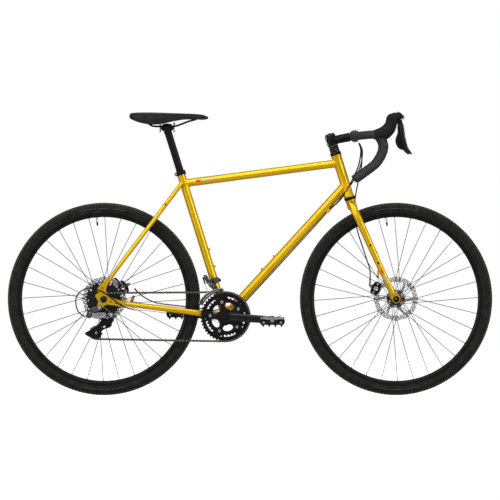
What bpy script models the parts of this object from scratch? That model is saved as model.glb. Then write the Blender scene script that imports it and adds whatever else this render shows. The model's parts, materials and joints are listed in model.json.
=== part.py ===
"""Road bicycle with disc brakes, drop handlebar and two-by-nine gears.

Metres, +X forward, +Y to the rider's left, +Z up.  The origin is on the ground, midway between
the places where the tyres touch it.  Each sub-part is one closed solid in one object.  Objects
that turn or slide are parented to an empty on the axis of their joint.
"""
import math

import bmesh
import bpy
from mathutils import Vector

# ---- driving dimensions ---------------------------------------------------------------------
WHEELBASE = 1.0586
TYRE_RADIUS = 0.349
TYRE_HALF_WIDTH = 0.019
RIM_INNER_RADIUS = 0.2965
WHEEL_SIDES = 36
SPOKES = 32

REAR_AXLE = Vector((-WHEELBASE / 2, 0, TYRE_RADIUS))
FRONT_AXLE = Vector((WHEELBASE / 2, 0, TYRE_RADIUS))
BOTTOM_BRACKET = Vector((-0.0893, 0, 0.2854))
SEAT_TUBE_TOP = Vector((-0.2530, 0, 0.8120))
HEAD_BASE = Vector((0.3598, 0, 0.7186))
HEAD_AXIS = Vector((-0.3007, 0, 0.9537)).normalized()
HEAD_LENGTH = 0.1590
TOP_TUBE_REAR = Vector((-0.2334, 0, 0.7686))
TOP_TUBE_FRONT = Vector((0.3211, 0, 0.8414))
DOWN_TUBE_FRONT = Vector((0.3464, 0, 0.7610))

HEAD_RADIUS = 0.0180
CUP_RADIUS = 0.0205
CUP_HEIGHT = 0.0115
STEERER_RADIUS = 0.0143
TOP_TUBE_RADIUS = 0.0145
DOWN_TUBE_RADIUS = 0.0166
SEAT_TUBE_RADIUS = 0.0150
SEATPOST_RADIUS = 0.0136
SHELL_RADIUS = 0.0210
SHELL_HALF_WIDTH = 0.0340
WALL = 0.0014
GAP = 0.0003

REAR_DROPOUT_INNER = 0.0675
FRONT_DROPOUT_INNER = 0.0500
DROPOUT_THICKNESS = 0.0060
AXLE_RADIUS = 0.0050

RING_Y = -0.0470
INNER_RING_Y = -0.0400
COG_Y = -0.0605
COG_SPACING = 0.0044
PITCH = 0.0127
RING_TEETH = 44
INNER_RING_TEETH = 34
COG_TEETH = (11, 13, 15, 17, 19, 21, 24, 28, 32)
PULLEY_TEETH = 11
CHAIN_WIDTH = 0.0056
CHAIN_HEIGHT = 0.0080
CRANK_LENGTH = 0.1700
CRANK_ANGLE = math.radians(-3.7)
GUIDE_PULLEY = Vector((-0.5158, COG_Y, 0.2813))
TENSION_PULLEY = Vector((-0.5567, COG_Y, 0.2275))
HANGER_BOLT = Vector((-0.5433, 0, 0.3187))
CAGE_PIVOT = Vector((-0.5025, 0, 0.2910))
LINK_REAR_PIVOT = Vector((-0.5705, -0.0835, 0.2915))
LINK_FRONT_PIVOT = Vector((-0.5165, -0.0835, 0.2915))

ROTOR_RADIUS = 0.0800
FRONT_ROTOR_Y = 0.0395
REAR_ROTOR_Y = 0.0520
FRONT_CALIPER = Vector((0.4572, 0, 0.3862))
REAR_CALIPER = Vector((-0.4608, 0, 0.3898))

BAR_RADIUS = 0.0155
BAR_CLAMP = Vector((0.3787, 0, 0.9395))
LEVER_Y = 0.2155
LEVER_PIVOT = Vector((0.5330, 0, 0.9920))
CABLE_RADIUS = 0.0024
LOOP_Y = -0.0780

Y_AXIS = Vector((0, 1, 0))


def pitch_radius(teeth):
    """Radius of the circle that the chain's pins lie on."""
    return PITCH / 2 / math.sin(math.pi / teeth)


def on_head_axis(distance):
    """Point on the steering axis, measured up from the head tube's lower end."""
    return HEAD_BASE + HEAD_AXIS * distance


# ---- materials ------------------------------------------------------------------------------
PAINTS = {
    "frame_paint": ((0.78, 0.48, 0.03), 0.30, 0.5),
    "black_alloy": ((0.03, 0.03, 0.032), 0.42, 0.6),
    "silver_alloy": ((0.55, 0.55, 0.57), 0.30, 1.0),
    "steel": ((0.42, 0.42, 0.43), 0.30, 1.0),
    "chain_steel": ((0.25, 0.22, 0.19), 0.35, 1.0),
    "tyre_rubber": ((0.025, 0.025, 0.027), 0.85, 0.0),
    "hood_rubber": ((0.03, 0.03, 0.032), 0.65, 0.0),
    "bar_tape": ((0.035, 0.035, 0.038), 0.75, 0.0),
    "saddle_cover": ((0.03, 0.03, 0.032), 0.60, 0.0),
    "black_plastic": ((0.02, 0.02, 0.022), 0.50, 0.0),
}
materials = {}


def paint(slot):
    """The material of one slot, made on first use."""
    if slot not in materials:
        colour, roughness, metallic = PAINTS[slot]
        made = bpy.data.materials.new(slot)
        made.use_nodes = True
        shader = made.node_tree.nodes["Principled BSDF"]
        shader.inputs["Base Color"].default_value = (*colour, 1)
        shader.inputs["Roughness"].default_value = roughness
        shader.inputs["Metallic"].default_value = metallic
        materials[slot] = made
    return materials[slot]


# ---- building tools -------------------------------------------------------------------------
def clear_scene():
    for old in list(bpy.data.objects):
        bpy.data.objects.remove(old, do_unlink=True)


def add_object(name, bm, slot=None):
    """Turn a bmesh into an object whose faces point out."""
    bmesh.ops.recalc_face_normals(bm, faces=bm.faces)
    mesh = bpy.data.meshes.new(name)
    bm.to_mesh(mesh)
    bm.free()
    made = bpy.data.objects.new(name, mesh)
    bpy.context.scene.collection.objects.link(made)
    if slot:
        mesh.materials.append(paint(slot))
        mesh.shade_smooth()
        mesh.set_sharp_from_angle(angle=math.radians(40))
    return made


def boolean(target, tool, operation):
    """Join or cut target with tool, and remove tool."""
    step = target.modifiers.new(operation, "BOOLEAN")
    step.operation = operation
    step.solver = "EXACT"
    step.object = tool
    bpy.context.view_layer.update()
    evaluated = target.evaluated_get(bpy.context.evaluated_depsgraph_get())
    mesh = bpy.data.meshes.new_from_object(evaluated)
    target.modifiers.clear()
    target.data = mesh
    bpy.data.objects.remove(tool, do_unlink=True)
    return target


def fuse(name, slot, pieces, cutters=()):
    """One solid from several overlapping pieces, less the cutters."""
    made = pieces[0]
    for piece in pieces[1:]:
        boolean(made, piece, "UNION")
    for cutter in cutters:
        boolean(made, cutter, "DIFFERENCE")
    made.name = name
    made.data.name = name
    made.data.materials.clear()
    made.data.materials.append(paint(slot))
    made.data.shade_smooth()
    made.data.set_sharp_from_angle(angle=math.radians(40))
    return made


def basis(axis):
    """Two directions square to axis and to each other."""
    side = Vector((0, 1, 0)) if abs(axis.y) < 0.9 else Vector((1, 0, 0))
    first = (side - axis * side.dot(axis)).normalized()
    return first, axis.cross(first)


def bridge(bm, loop, other):
    """Quads between two rings of the same count."""
    count = len(loop)
    for i in range(count):
        j = (i + 1) % count
        bm.faces.new((loop[i], loop[j], other[j], other[i]))


def rod(name, start, end, radius, slot=None, end_radius=None, sides=16):
    """Solid round bar between two points."""
    return sweep(name, [start, end], [radius, end_radius or radius], slot, sides)


def sweep(name, path, radii, slot=None, sides=12, squash=1.0):
    """Solid round section along a path; squash narrows it sideways."""
    bm = bmesh.new()
    path = [Vector(point) for point in path]
    if not isinstance(radii, (list, tuple)):
        radii = [radii] * len(path)
    loops = []
    first = None
    for i, point in enumerate(path):
        ahead = path[min(i + 1, len(path) - 1)]
        behind = path[max(i - 1, 0)]
        tangent = (ahead - behind).normalized()
        if first is None:
            first, second = basis(tangent)
        else:
            first = (first - tangent * first.dot(tangent)).normalized()
            second = tangent.cross(first)
        loop = []
        for k in range(sides):
            turn = math.tau * (k + 0.5) / sides
            offset = first * (math.cos(turn) * squash) + second * math.sin(turn)
            loop.append(bm.verts.new(point + offset * radii[i]))
        loops.append(loop)
    for loop, other in zip(loops, loops[1:]):
        bridge(bm, loop, other)
    bm.faces.new(loops[0])
    bm.faces.new(loops[-1])
    return add_object(name, bm, slot)


def turned(name, profile, centre, axis=Y_AXIS, slot=None, sides=32, hollow=True):
    """Turn (radius, height) points about an axis; hollow profiles close on themselves."""
    bm = bmesh.new()
    axis = axis.normalized()
    first, second = basis(axis)
    loops = []
    for radius, height in profile:
        loop = []
        for k in range(sides):
            turn = math.tau * (k + 0.5) / sides
            offset = first * math.cos(turn) + second * math.sin(turn)
            loop.append(bm.verts.new(centre + axis * height + offset * radius))
        loops.append(loop)
    for loop, other in zip(loops, loops[1:]):
        bridge(bm, loop, other)
    if hollow:
        bridge(bm, loops[-1], loops[0])
    else:
        bm.faces.new(loops[0])
        bm.faces.new(loops[-1])
    return add_object(name, bm, slot)


def plate(name, outline, low_y, high_y, slot=None):
    """Flat plate from an (x, z) outline, between two heights in Y."""
    bm = bmesh.new()
    low = [bm.verts.new((x, low_y, z)) for x, z in outline]
    high = [bm.verts.new((x, high_y, z)) for x, z in outline]
    bridge(bm, low, high)
    bm.faces.new(low)
    bm.faces.new(high)
    return add_object(name, bm, slot)


def disc_outline(centre, radius, sides=16):
    """(x, z) points round a circle."""
    turns = [math.tau * (k + 0.5) / sides for k in range(sides)]
    return [(centre.x + radius * math.cos(t), centre.z + radius * math.sin(t)) for t in turns]


def block(name, centre, size, slot=None):
    """Rectangular block, placed by its centre."""
    half_x, half_y, half_z = (extent / 2 for extent in size)
    left, right = centre[0] - half_x, centre[0] + half_x
    low, high = centre[2] - half_z, centre[2] + half_z
    outline = [(left, low), (right, low), (right, high), (left, high)]
    return plate(name, outline, centre[1] - half_y, centre[1] + half_y, slot)


def smooth_route(points, steps):
    """Points read from one Catmull-Rom curve through a route's own points."""
    points = [Vector(point) for point in points]
    first = points[0] * 2 - points[1]
    last = points[-1] * 2 - points[-2]
    knots = [first, *points, last]
    route = []
    for a, b, c, d in zip(knots, knots[1:], knots[2:], knots[3:]):
        for k in range(steps):
            t = k / steps
            route.append(0.5 * (2 * b + (c - a) * t + (2 * a - 5 * b + 4 * c - d) * t * t
                                + (3 * b - a - 3 * c + d) * t ** 3))
    route.append(points[-1])
    return route


def cable(name, points, steps, radius=CABLE_RADIUS, slot="black_plastic"):
    """Round cable as a curve with filled caps."""
    curve = bpy.data.curves.new(name, "CURVE")
    curve.dimensions = "3D"
    curve.bevel_depth = radius
    curve.bevel_resolution = 2
    curve.use_fill_caps = True
    route = smooth_route(points, steps)
    spline = curve.splines.new("POLY")
    spline.points.add(len(route) - 1)
    for knot, place in zip(spline.points, route):
        knot.co = (*place, 1)
    curve.materials.append(paint(slot))
    made = bpy.data.objects.new(name, curve)
    bpy.context.scene.collection.objects.link(made)
    return made


def hang_on(pieces, empty_name, place):
    """Parent pieces to an empty on their joint's axis."""
    empty = bpy.data.objects.new(empty_name, None)
    empty.location = place
    bpy.context.scene.collection.objects.link(empty)
    bpy.context.view_layer.update()
    for piece in pieces:
        piece.parent = empty
        piece.matrix_parent_inverse = empty.matrix_world.inverted()


# ---- frame ----------------------------------------------------------------------------------
def tube_between(name, start, end, radius, cutters, bosses=()):
    """Thin-walled tube whose ends are mitred to its neighbours."""
    along = (end - start).normalized()
    outer = rod(name, start, end, radius, sides=16)
    bore = rod("bore", start - along * 0.05, end + along * 0.05, radius - WALL, sides=16)
    solid = boolean(outer, bore, "DIFFERENCE")
    for boss in bosses:
        boolean(solid, boss, "UNION")
    return fuse(name, "frame_paint", [solid], cutters)


def bottle_bosses(middle, along, side, tube_radius):
    """Two threaded bosses 64 mm apart, with flat tops 2.2 mm above the tube."""
    bosses = []
    for step in (-0.032, 0.032):
        foot = middle + along * step + side * (tube_radius - WALL * 0.7)
        top = middle + along * step + side * (tube_radius + 0.0022)
        bosses.append(rod("boss", foot, top, 0.0050, sides=10))
    return bosses


def head_cutter():
    return rod("cutter", on_head_axis(-0.03), on_head_axis(HEAD_LENGTH + 0.03),
               HEAD_RADIUS + GAP, sides=18)


def shell_cutter():
    span = Y_AXIS * (SHELL_HALF_WIDTH + 0.01)
    return rod("cutter", BOTTOM_BRACKET - span, BOTTOM_BRACKET + span, SHELL_RADIUS + GAP,
               sides=18)


def seat_tube_cutter():
    return rod("cutter", BOTTOM_BRACKET, SEAT_TUBE_TOP + (SEAT_TUBE_TOP - BOTTOM_BRACKET) * 0.1,
               SEAT_TUBE_RADIUS + GAP, sides=16)


def make_main_tubes():
    lower, upper = -CUP_HEIGHT, HEAD_LENGTH + CUP_HEIGHT
    profile = [(CUP_RADIUS, lower), (CUP_RADIUS, 0), (HEAD_RADIUS, 0),
               (HEAD_RADIUS, HEAD_LENGTH), (CUP_RADIUS, HEAD_LENGTH), (CUP_RADIUS, upper),
               (STEERER_RADIUS + 0.0007, upper), (STEERER_RADIUS + 0.0007, lower)]
    turned("head_tube", profile, HEAD_BASE, HEAD_AXIS, "frame_paint", 18)

    turned("bottom_bracket_shell",
           [(SHELL_RADIUS, -SHELL_HALF_WIDTH), (SHELL_RADIUS, SHELL_HALF_WIDTH),
            (0.0186, SHELL_HALF_WIDTH + 0.0002), (0.0186, SHELL_HALF_WIDTH + 0.0040),
            (0.0125, SHELL_HALF_WIDTH + 0.0040), (0.0125, -SHELL_HALF_WIDTH - 0.0030),
            (0.0186, -SHELL_HALF_WIDTH - 0.0030), (0.0186, -SHELL_HALF_WIDTH - 0.0002)],
           BOTTOM_BRACKET, Y_AXIS, "frame_paint", 18)

    along = (SEAT_TUBE_TOP - BOTTOM_BRACKET).normalized()
    front = Vector((along.z, 0, -along.x))
    outer = rod("seat_tube", BOTTOM_BRACKET, SEAT_TUBE_TOP, SEAT_TUBE_RADIUS, sides=16)
    bore = rod("bore", BOTTOM_BRACKET - along * 0.05, SEAT_TUBE_TOP + along * 0.05,
               SEATPOST_RADIUS + GAP, sides=16)
    tube = boolean(outer, bore, "DIFFERENCE")
    boss_middle = BOTTOM_BRACKET + along * 0.2180
    for boss in bottle_bosses(boss_middle, along, front, SEAT_TUBE_RADIUS):
        boolean(tube, boss, "UNION")
    fuse("seat_tube", "frame_paint", [tube], [shell_cutter()])

    tube_between("top_tube", TOP_TUBE_REAR, TOP_TUBE_FRONT, TOP_TUBE_RADIUS,
                 [head_cutter(), seat_tube_cutter()])
    down_along = (DOWN_TUBE_FRONT - BOTTOM_BRACKET).normalized()
    up = Vector((-down_along.z, 0, down_along.x))
    middle = BOTTOM_BRACKET + down_along * 0.2485
    bosses = bottle_bosses(middle, down_along, up, DOWN_TUBE_RADIUS)
    tube_between("down_tube", BOTTOM_BRACKET, DOWN_TUBE_FRONT, DOWN_TUBE_RADIUS,
                 [head_cutter(), shell_cutter(), seat_tube_cutter()], bosses)


def chain_stay_path(side):
    return [(-0.0960, side * 0.0225, 0.2860), (-0.1300, side * 0.0252, 0.2905),
            (-0.1650, side * 0.0295, 0.2955), (-0.2050, side * 0.0352, 0.3010),
            (-0.2600, side * 0.0430, 0.3080), (-0.3300, side * 0.0530, 0.3165),
            (-0.4000, side * 0.0630, 0.3250), (-0.4480, side * 0.0695, 0.3310)]


def dropout_outline(side):
    """Plate that holds the axle; the right one carries the derailleur hanger."""
    tail = [(-0.5440, 0.3560), (-0.5450, 0.3450)]
    if side < 0:
        tail = [(-0.5440, 0.3560), (-0.5475, 0.3400), (-0.5560, 0.3190), (-0.5510, 0.3095),
                (-0.5400, 0.3080), (-0.5330, 0.3180), (-0.5290, 0.3330)]
    return [(-0.4400, 0.3400), (-0.4400, 0.3220), (-0.4700, 0.3250), (-0.5000, 0.3330),
            (-0.5200, 0.3350), *reversed(tail), (-0.5380, 0.3720), (-0.5220, 0.3990),
            (-0.5150, 0.4200), (-0.5010, 0.4180), (-0.5060, 0.3960), (-0.5040, 0.3760),
            (-0.4900, 0.3560), (-0.4700, 0.3460)]


def make_stays():
    for side, word in ((-1, "right"), (1, "left")):
        path = chain_stay_path(side)
        radii = [0.0105, 0.0110, 0.0112, 0.0110, 0.0105, 0.0095, 0.0088, 0.0080]
        stay = sweep("stay", path, radii, sides=12, squash=0.60)
        faces = sorted((side * REAR_DROPOUT_INNER,
                        side * (REAR_DROPOUT_INNER + DROPOUT_THICKNESS)))
        dropout = plate("dropout", dropout_outline(side), *faces)
        slot_cut = rod("slot", REAR_AXLE + Y_AXIS * (side * 0.05),
                       REAR_AXLE + Y_AXIS * (side * 0.09), AXLE_RADIUS + GAP, sides=12)
        fuse(f"{word}_chain_stay", "frame_paint", [stay, dropout], [slot_cut, shell_cutter()])

        path = [(-0.2450, side * 0.0165, 0.7710), (-0.2900, side * 0.0230, 0.7116),
                (-0.3500, side * 0.0370, 0.6324), (-0.4200, side * 0.0545, 0.5400),
                (-0.4700, side * 0.0665, 0.4740), (-0.5040, side * 0.0700, 0.4272)]
        stay = sweep("stay", path, [0.0080, 0.0080, 0.0080, 0.0076, 0.0070, 0.0064], sides=12)
        fuse(f"{word}_seat_stay", "frame_paint", [stay], [seat_tube_cutter()])


def make_seat_clamp():
    along = (SEAT_TUBE_TOP - BOTTOM_BRACKET).normalized()
    inner, outer = SEAT_TUBE_RADIUS + GAP, SEAT_TUBE_RADIUS + 0.0032
    ring = turned("ring", [(outer, -0.0145), (outer, 0.0005), (inner, 0.0005),
                           (inner, -0.0145)], SEAT_TUBE_TOP, along, sides=16)
    behind = SEAT_TUBE_TOP - along * 0.0070 - Vector((along.z, 0, -along.x)) * 0.0212
    bolt = rod("bolt", behind - Y_AXIS * 0.0120, behind + Y_AXIS * 0.0120, 0.0048, sides=10)
    fuse("seat_clamp", "black_alloy", [ring, bolt])


def make_rear_axle():
    end = REAR_DROPOUT_INNER + DROPOUT_THICKNESS + GAP
    profile = [(0.0085, -end - 0.0090), (0.0115, -end - 0.0040), (0.0115, -end),
               (AXLE_RADIUS, -end), (AXLE_RADIUS, end), (0.0100, end), (0.0100, end + 0.0070),
               (0.0070, end + 0.0090)]
    turned("rear_axle", profile, REAR_AXLE, Y_AXIS, "steel", 12, hollow=False)


# ---- wheels ---------------------------------------------------------------------------------
def wheel_ring(radius):
    """Corner radius of a many-sided ring whose flats lie at the given radius."""
    return radius / math.cos(math.pi / WHEEL_SIDES)


def make_tyre(name, centre):
    """Open casing: tread, side walls and two beads that sit beside the rim."""
    tread, width = TYRE_RADIUS, TYRE_HALF_WIDTH
    half = [(tread, 0.0060), (tread - 0.0050, 0.0135), (tread - 0.0150, width),
            (0.3130, 0.0150), (0.3130, 0.0118), (tread - 0.0160, 0.0155),
            (tread - 0.0060, 0.0085)]
    other = [(radius, -side) for radius, side in reversed(half)]
    profile = [(wheel_ring(radius), side) for radius, side in half + other]
    turned(name, profile, centre, Y_AXIS, "tyre_rubber", WHEEL_SIDES)


def make_rim(name, centre):
    """Box-section rim that lies inside the tyre's beads."""
    profile = [(0.3045, -0.0114), (0.3180, -0.0114), (0.3180, -0.0100), (0.3065, -0.0086),
               (0.3065, 0.0086), (0.3180, 0.0100), (0.3180, 0.0114), (0.3045, 0.0114),
               (RIM_INNER_RADIUS, 0.0070), (RIM_INNER_RADIUS, -0.0070)]
    profile = [(wheel_ring(radius), side) for radius, side in profile]
    turned(name, profile, centre, Y_AXIS, "black_alloy", WHEEL_SIDES)


def make_spokes(name, centre, low_y, high_y, ring_radius):
    """Thin ring between the flanges, with spokes drawn out of its outer faces in turn."""
    bm = bmesh.new()
    inner, rows = ring_radius - 0.0016, (low_y, low_y + 0.0022, high_y - 0.0022, high_y)
    grid = []
    for k in range(SPOKES):
        turn = math.tau * (k + 0.5) / SPOKES
        direction = Vector((math.cos(turn), 0, math.sin(turn)))
        outer_row = [bm.verts.new(centre + direction * ring_radius + Y_AXIS * y) for y in rows]
        inner_row = [bm.verts.new(centre + direction * inner + Y_AXIS * y)
                     for y in (high_y, low_y)]
        grid.append(outer_row + inner_row)
    tip = RIM_INNER_RADIUS - GAP
    for k in range(SPOKES):
        row, following = grid[k], grid[(k + 1) % SPOKES]
        spoke_row = 0 if k % 2 else 2
        for i in range(6):
            j = (i + 1) % 6
            if i != spoke_row:
                bm.faces.new((row[i], row[j], following[j], following[i]))
                continue
            foot = [row[i], row[j], following[j], following[i]]
            turn = math.tau * (k + 1) / SPOKES
            outward = Vector((math.cos(turn), 0, math.sin(turn)))
            across = Vector((-outward.z, 0, outward.x)) * 0.0010
            lift = Y_AXIS * 0.0010
            lean = 0.0030 * (1 if k % 2 == 0 else -1)
            end = centre + outward * tip + Y_AXIS * lean
            corners = [end - across - lift, end - across + lift, end + across + lift,
                       end + across - lift]
            top = [bm.verts.new(corner) for corner in corners]
            bridge(bm, foot, top)
            bm.faces.new(top)
    return add_object(name, bm, "steel")


def make_hub(name, centre, profile):
    turned(name, profile, centre, Y_AXIS, "black_alloy", 16)


def make_rotor(name, centre, y, bore):
    """Brake disc: a friction ring on six arms."""
    bm = bmesh.new()
    sectors = 24
    radii = (bore, 0.0270, 0.0640, ROTOR_RADIUS)
    grid = []
    for k in range(sectors):
        turn = math.tau * k / sectors
        direction = Vector((math.cos(turn), 0, math.sin(turn)))
        grid.append([bm.verts.new(centre + direction * r + Y_AXIS * (y - 0.0009))
                     for r in radii])
    for k in range(sectors):
        row, following = grid[k], grid[(k + 1) % sectors]
        for i in range(3):
            if i == 1 and k % 4 > 0:
                continue
            bm.faces.new((row[i], row[i + 1], following[i + 1], following[i]))
    flat = bm.faces[:]
    grown = bmesh.ops.extrude_face_region(bm, geom=flat)
    moved = [item for item in grown["geom"] if isinstance(item, bmesh.types.BMVert)]
    bmesh.ops.translate(bm, vec=(0, 0.0018, 0), verts=moved)
    add_object(name, bm, "steel")


def make_wheels():
    make_tyre("front_tyre", FRONT_AXLE)
    make_rim("front_rim", FRONT_AXLE)
    make_spokes("front_spokes", FRONT_AXLE, -0.0285, 0.0205, 0.0180)
    bore = AXLE_RADIUS + GAP
    flange, web = 0.0215, 0.0161
    make_hub("front_hub", FRONT_AXLE, [
        (bore, -0.0495), (0.0100, -0.0495), (0.0130, -0.0330), (flange, -0.0318),
        (flange, -0.0288), (web, -0.0288), (web, 0.0208), (flange, 0.0208), (flange, 0.0238),
        (0.0190, 0.0260), (0.0190, FRONT_ROTOR_Y - 0.0012), (0.0155, FRONT_ROTOR_Y - 0.0012),
        (0.0155, FRONT_ROTOR_Y + 0.0040), (0.0100, FRONT_ROTOR_Y + 0.0045), (0.0100, 0.0495),
        (bore, 0.0495)])
    make_rotor("front_rotor", FRONT_AXLE, FRONT_ROTOR_Y, 0.0160)

    make_tyre("rear_tyre", REAR_AXLE)
    make_rim("rear_rim", REAR_AXLE)
    make_spokes("rear_spokes", REAR_AXLE, -0.0165, 0.0325, 0.0200)
    flange, web = 0.0235, 0.0181
    make_hub("rear_hub", REAR_AXLE, [
        (bore, -0.0205), (flange, -0.0205), (flange, -0.0168), (web, -0.0168), (web, 0.0328),
        (flange, 0.0328), (flange, 0.0360), (0.0190, 0.0380), (0.0190, REAR_ROTOR_Y - 0.0012),
        (0.0155, REAR_ROTOR_Y - 0.0012), (0.0155, REAR_ROTOR_Y + 0.0040),
        (0.0100, REAR_ROTOR_Y + 0.0045), (0.0100, 0.0670), (bore, 0.0670)])
    make_rotor("rear_rotor", REAR_AXLE, REAR_ROTOR_Y, 0.0160)
    for word, centre in (("front", FRONT_AXLE), ("rear", REAR_AXLE)):
        parts = [bpy.data.objects[f"{word}_{part}"]
                 for part in ("tyre", "rim", "spokes", "hub", "rotor")]
        hang_on(parts, f"{word}_wheel_axis", centre)


def make_cassette():
    """Nine cogs on one carrier; the smallest lies under the chain."""
    bore, spacer = AXLE_RADIUS + GAP, 0.0165
    half = 0.0008
    profile = [(bore, COG_Y - 0.0030), (0.0145, COG_Y - 0.0030), (0.0145, COG_Y - half)]
    for i, teeth in enumerate(COG_TEETH):
        radius = pitch_radius(teeth) - (0.0044 if i == 0 else 0)
        y = COG_Y + i * COG_SPACING
        profile.append((radius, y - half))
        if i == 0:
            profile += [(radius, y + half), (spacer, y + half), (spacer, y + COG_SPACING - half)]
        else:
            profile.append((radius, y + COG_SPACING - half - 0.0002))
    last = COG_Y + (len(COG_TEETH) - 1) * COG_SPACING + half
    profile[-1] = (profile[-1][0], last)
    profile += [(0.0600, last), (0.0200, COG_Y + 2.4 * COG_SPACING), (0.0190, -0.0209),
                (bore, -0.0209)]
    made = turned("cassette", profile, REAR_AXLE, Y_AXIS, "steel", 18)
    hang_on([made], "cassette_axis", REAR_AXLE)


# ---- drive ----------------------------------------------------------------------------------
def crank_point(distance, y, flip=1):
    """Point along the crank arm from the bottom bracket's axis."""
    return BOTTOM_BRACKET + Vector((math.cos(CRANK_ANGLE) * distance * flip, y,
                                    math.sin(CRANK_ANGLE) * distance * flip))


def make_ring(name, teeth, y, carrier):
    outer = pitch_radius(teeth) - 0.0044
    turned(name, [(carrier, y - 0.0010), (outer, y - 0.0010), (outer, y + 0.0010),
                  (carrier, y + 0.0010)], BOTTOM_BRACKET, Y_AXIS, "black_alloy", 32)


def make_arm(flip):
    """Tapered crank arm from the spindle to the pedal's eye."""
    side = -flip
    path = [crank_point(0, side * 0.0590, flip), crank_point(0.03, side * 0.0610, flip),
            crank_point(0.10, side * 0.0680, flip), crank_point(0.150, side * 0.0730, flip),
            crank_point(CRANK_LENGTH, side * 0.0730, flip)]
    arm = sweep("arm", path, [0.0165, 0.0160, 0.0135, 0.0125, 0.0120], sides=10, squash=0.50)
    eye_centre = crank_point(CRANK_LENGTH, side * 0.0730, flip)
    eye = rod("eye", eye_centre - Y_AXIS * 0.0065, eye_centre + Y_AXIS * 0.0065, 0.0140,
              sides=14)
    return arm, eye


def make_crankset():
    arm, eye = make_arm(1)
    boss = rod("boss", BOTTOM_BRACKET - Y_AXIS * 0.0670, BOTTOM_BRACKET - Y_AXIS * 0.0480,
               0.0190, sides=16)
    spindle = rod("spindle", BOTTOM_BRACKET - Y_AXIS * 0.0660, BOTTOM_BRACKET + Y_AXIS * 0.0545,
                  0.0120, sides=16)
    bolt_circle = 0.0550
    pieces = [arm, eye, boss, spindle]
    for k in range(5):
        turn = math.radians(31.5) + math.tau * k / 5
        out = Vector((math.cos(turn), 0, math.sin(turn)))
        root = BOTTOM_BRACKET + out * 0.012 - Y_AXIS * 0.0535
        tip = BOTTOM_BRACKET + out * (bolt_circle + 0.0080) - Y_AXIS * 0.0515
        pieces.append(sweep("spider", [root, tip], [0.0095, 0.0060], sides=8, squash=0.55))
    right = fuse("right_crank_arm", "black_alloy", pieces)

    arm, eye = make_arm(-1)
    boss = rod("boss", BOTTOM_BRACKET + Y_AXIS * 0.0548, BOTTOM_BRACKET + Y_AXIS * 0.0660,
               0.0190, sides=16)
    left = fuse("left_crank_arm", "black_alloy", [arm, eye, boss],
                [block("cut", (BOTTOM_BRACKET.x, 0.0448, BOTTOM_BRACKET.z),
                       (0.10, 0.0200, 0.10))])
    make_ring("outer_chainring", RING_TEETH, RING_Y, 0.0640)
    make_ring("inner_chainring", INNER_RING_TEETH, INNER_RING_Y, 0.0480)
    rings = [bpy.data.objects["outer_chainring"], bpy.data.objects["inner_chainring"]]
    hang_on([right, left, *rings], "crank_axis", BOTTOM_BRACKET)


def make_pedal(name, flip):
    """Caged clip-in pedal that turns on its own axle."""
    side = -flip
    centre = crank_point(CRANK_LENGTH, 0, flip)
    near, far = side * 0.0800, side * 0.1000
    body_low, body_high = sorted((far, side * 0.1600))
    axle = rod("axle", centre + Y_AXIS * near, centre + Y_AXIS * side * 0.1500, 0.0075, sides=10)
    cage = [(-0.0440, -0.0040), (-0.0380, -0.0110), (0.0380, -0.0110), (0.0440, -0.0040),
            (0.0440, 0.0040), (0.0380, 0.0110), (-0.0380, 0.0110), (-0.0440, 0.0040)]
    outline = [(centre.x + x, centre.z - 0.0060 + z) for x, z in cage]
    body = plate("cage", outline, body_low, body_high)
    binding = plate("binding", [(centre.x + x, centre.z + z) for x, z in
                                ((-0.024, -0.030), (0.020, -0.030), (0.030, -0.022),
                                 (0.030, 0.010), (0.020, 0.017), (-0.024, 0.017),
                                 (-0.031, 0.008), (-0.031, -0.022))],
                    *sorted((side * 0.1180, side * 0.1430)))
    made = fuse(name, "black_alloy", [body, axle, binding])
    hang_on([made], f"{name}_axis", centre)


def tangent_angle(first, second):
    """Direction of the line that leaves one chain circle and meets the next."""
    (c1, r1, s1, _), (c2, r2, s2, _) = first, second
    across = Vector((c2.x - c1.x, c2.z - c1.z))
    return math.atan2(across.y, across.x) + math.asin((s1 * r1 - s2 * r2) / across.length)


def chain_path():
    """Closed pitch line: ring, smallest cog, guide pulley, tension pulley."""
    small = pitch_radius(PULLEY_TEETH)
    circles = [(BOTTOM_BRACKET, pitch_radius(RING_TEETH), 1, RING_Y),
               (REAR_AXLE, pitch_radius(COG_TEETH[0]), 1, COG_Y),
               (GUIDE_PULLEY, small, -1, COG_Y), (TENSION_PULLEY, small, 1, COG_Y)]
    count = len(circles)
    headings = [tangent_angle(circles[i], circles[(i + 1) % count]) for i in range(count)]
    points = []
    for i, (centre, radius, sense, y) in enumerate(circles):
        arrive = headings[i - 1] - sense * math.pi / 2
        leave = headings[i] - sense * math.pi / 2
        span = (leave - arrive) * sense % math.tau * sense
        steps = max(3, int(abs(span) * (14 if radius > 0.05 else 3.2)) + 1)
        for k in range(steps + 1):
            turn = arrive + span * k / steps
            bulge = radius / math.cos(span / steps / 2) if 0 < k < steps else radius
            outward = Vector((math.cos(turn), 0, math.sin(turn)))
            place = Vector((centre.x, y, centre.z)) + outward * bulge
            points.append(place)
    return points


def make_chain():
    """Plain belt on the pitch line; its links are left to the finished surface."""
    bm = bmesh.new()
    path = chain_path()
    count = len(path)
    loops = []
    for i, point in enumerate(path):
        before = (point - path[i - 1]).normalized()
        after = (path[(i + 1) % count] - point).normalized()
        along = before + after
        along.y = 0
        along.normalize()
        normal = Vector((along.z, 0, -along.x))
        loop = []
        for lift, side in ((-1, -1), (1, -1), (1, 1), (-1, 1)):
            offset = normal * (lift * CHAIN_HEIGHT / 2) + Y_AXIS * (side * CHAIN_WIDTH / 2)
            loop.append(bm.verts.new(point + offset))
        loops.append(loop)
    for i in range(count):
        bridge(bm, loops[i], loops[(i + 1) % count])
    add_object("chain", bm, "chain_steel")


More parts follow.
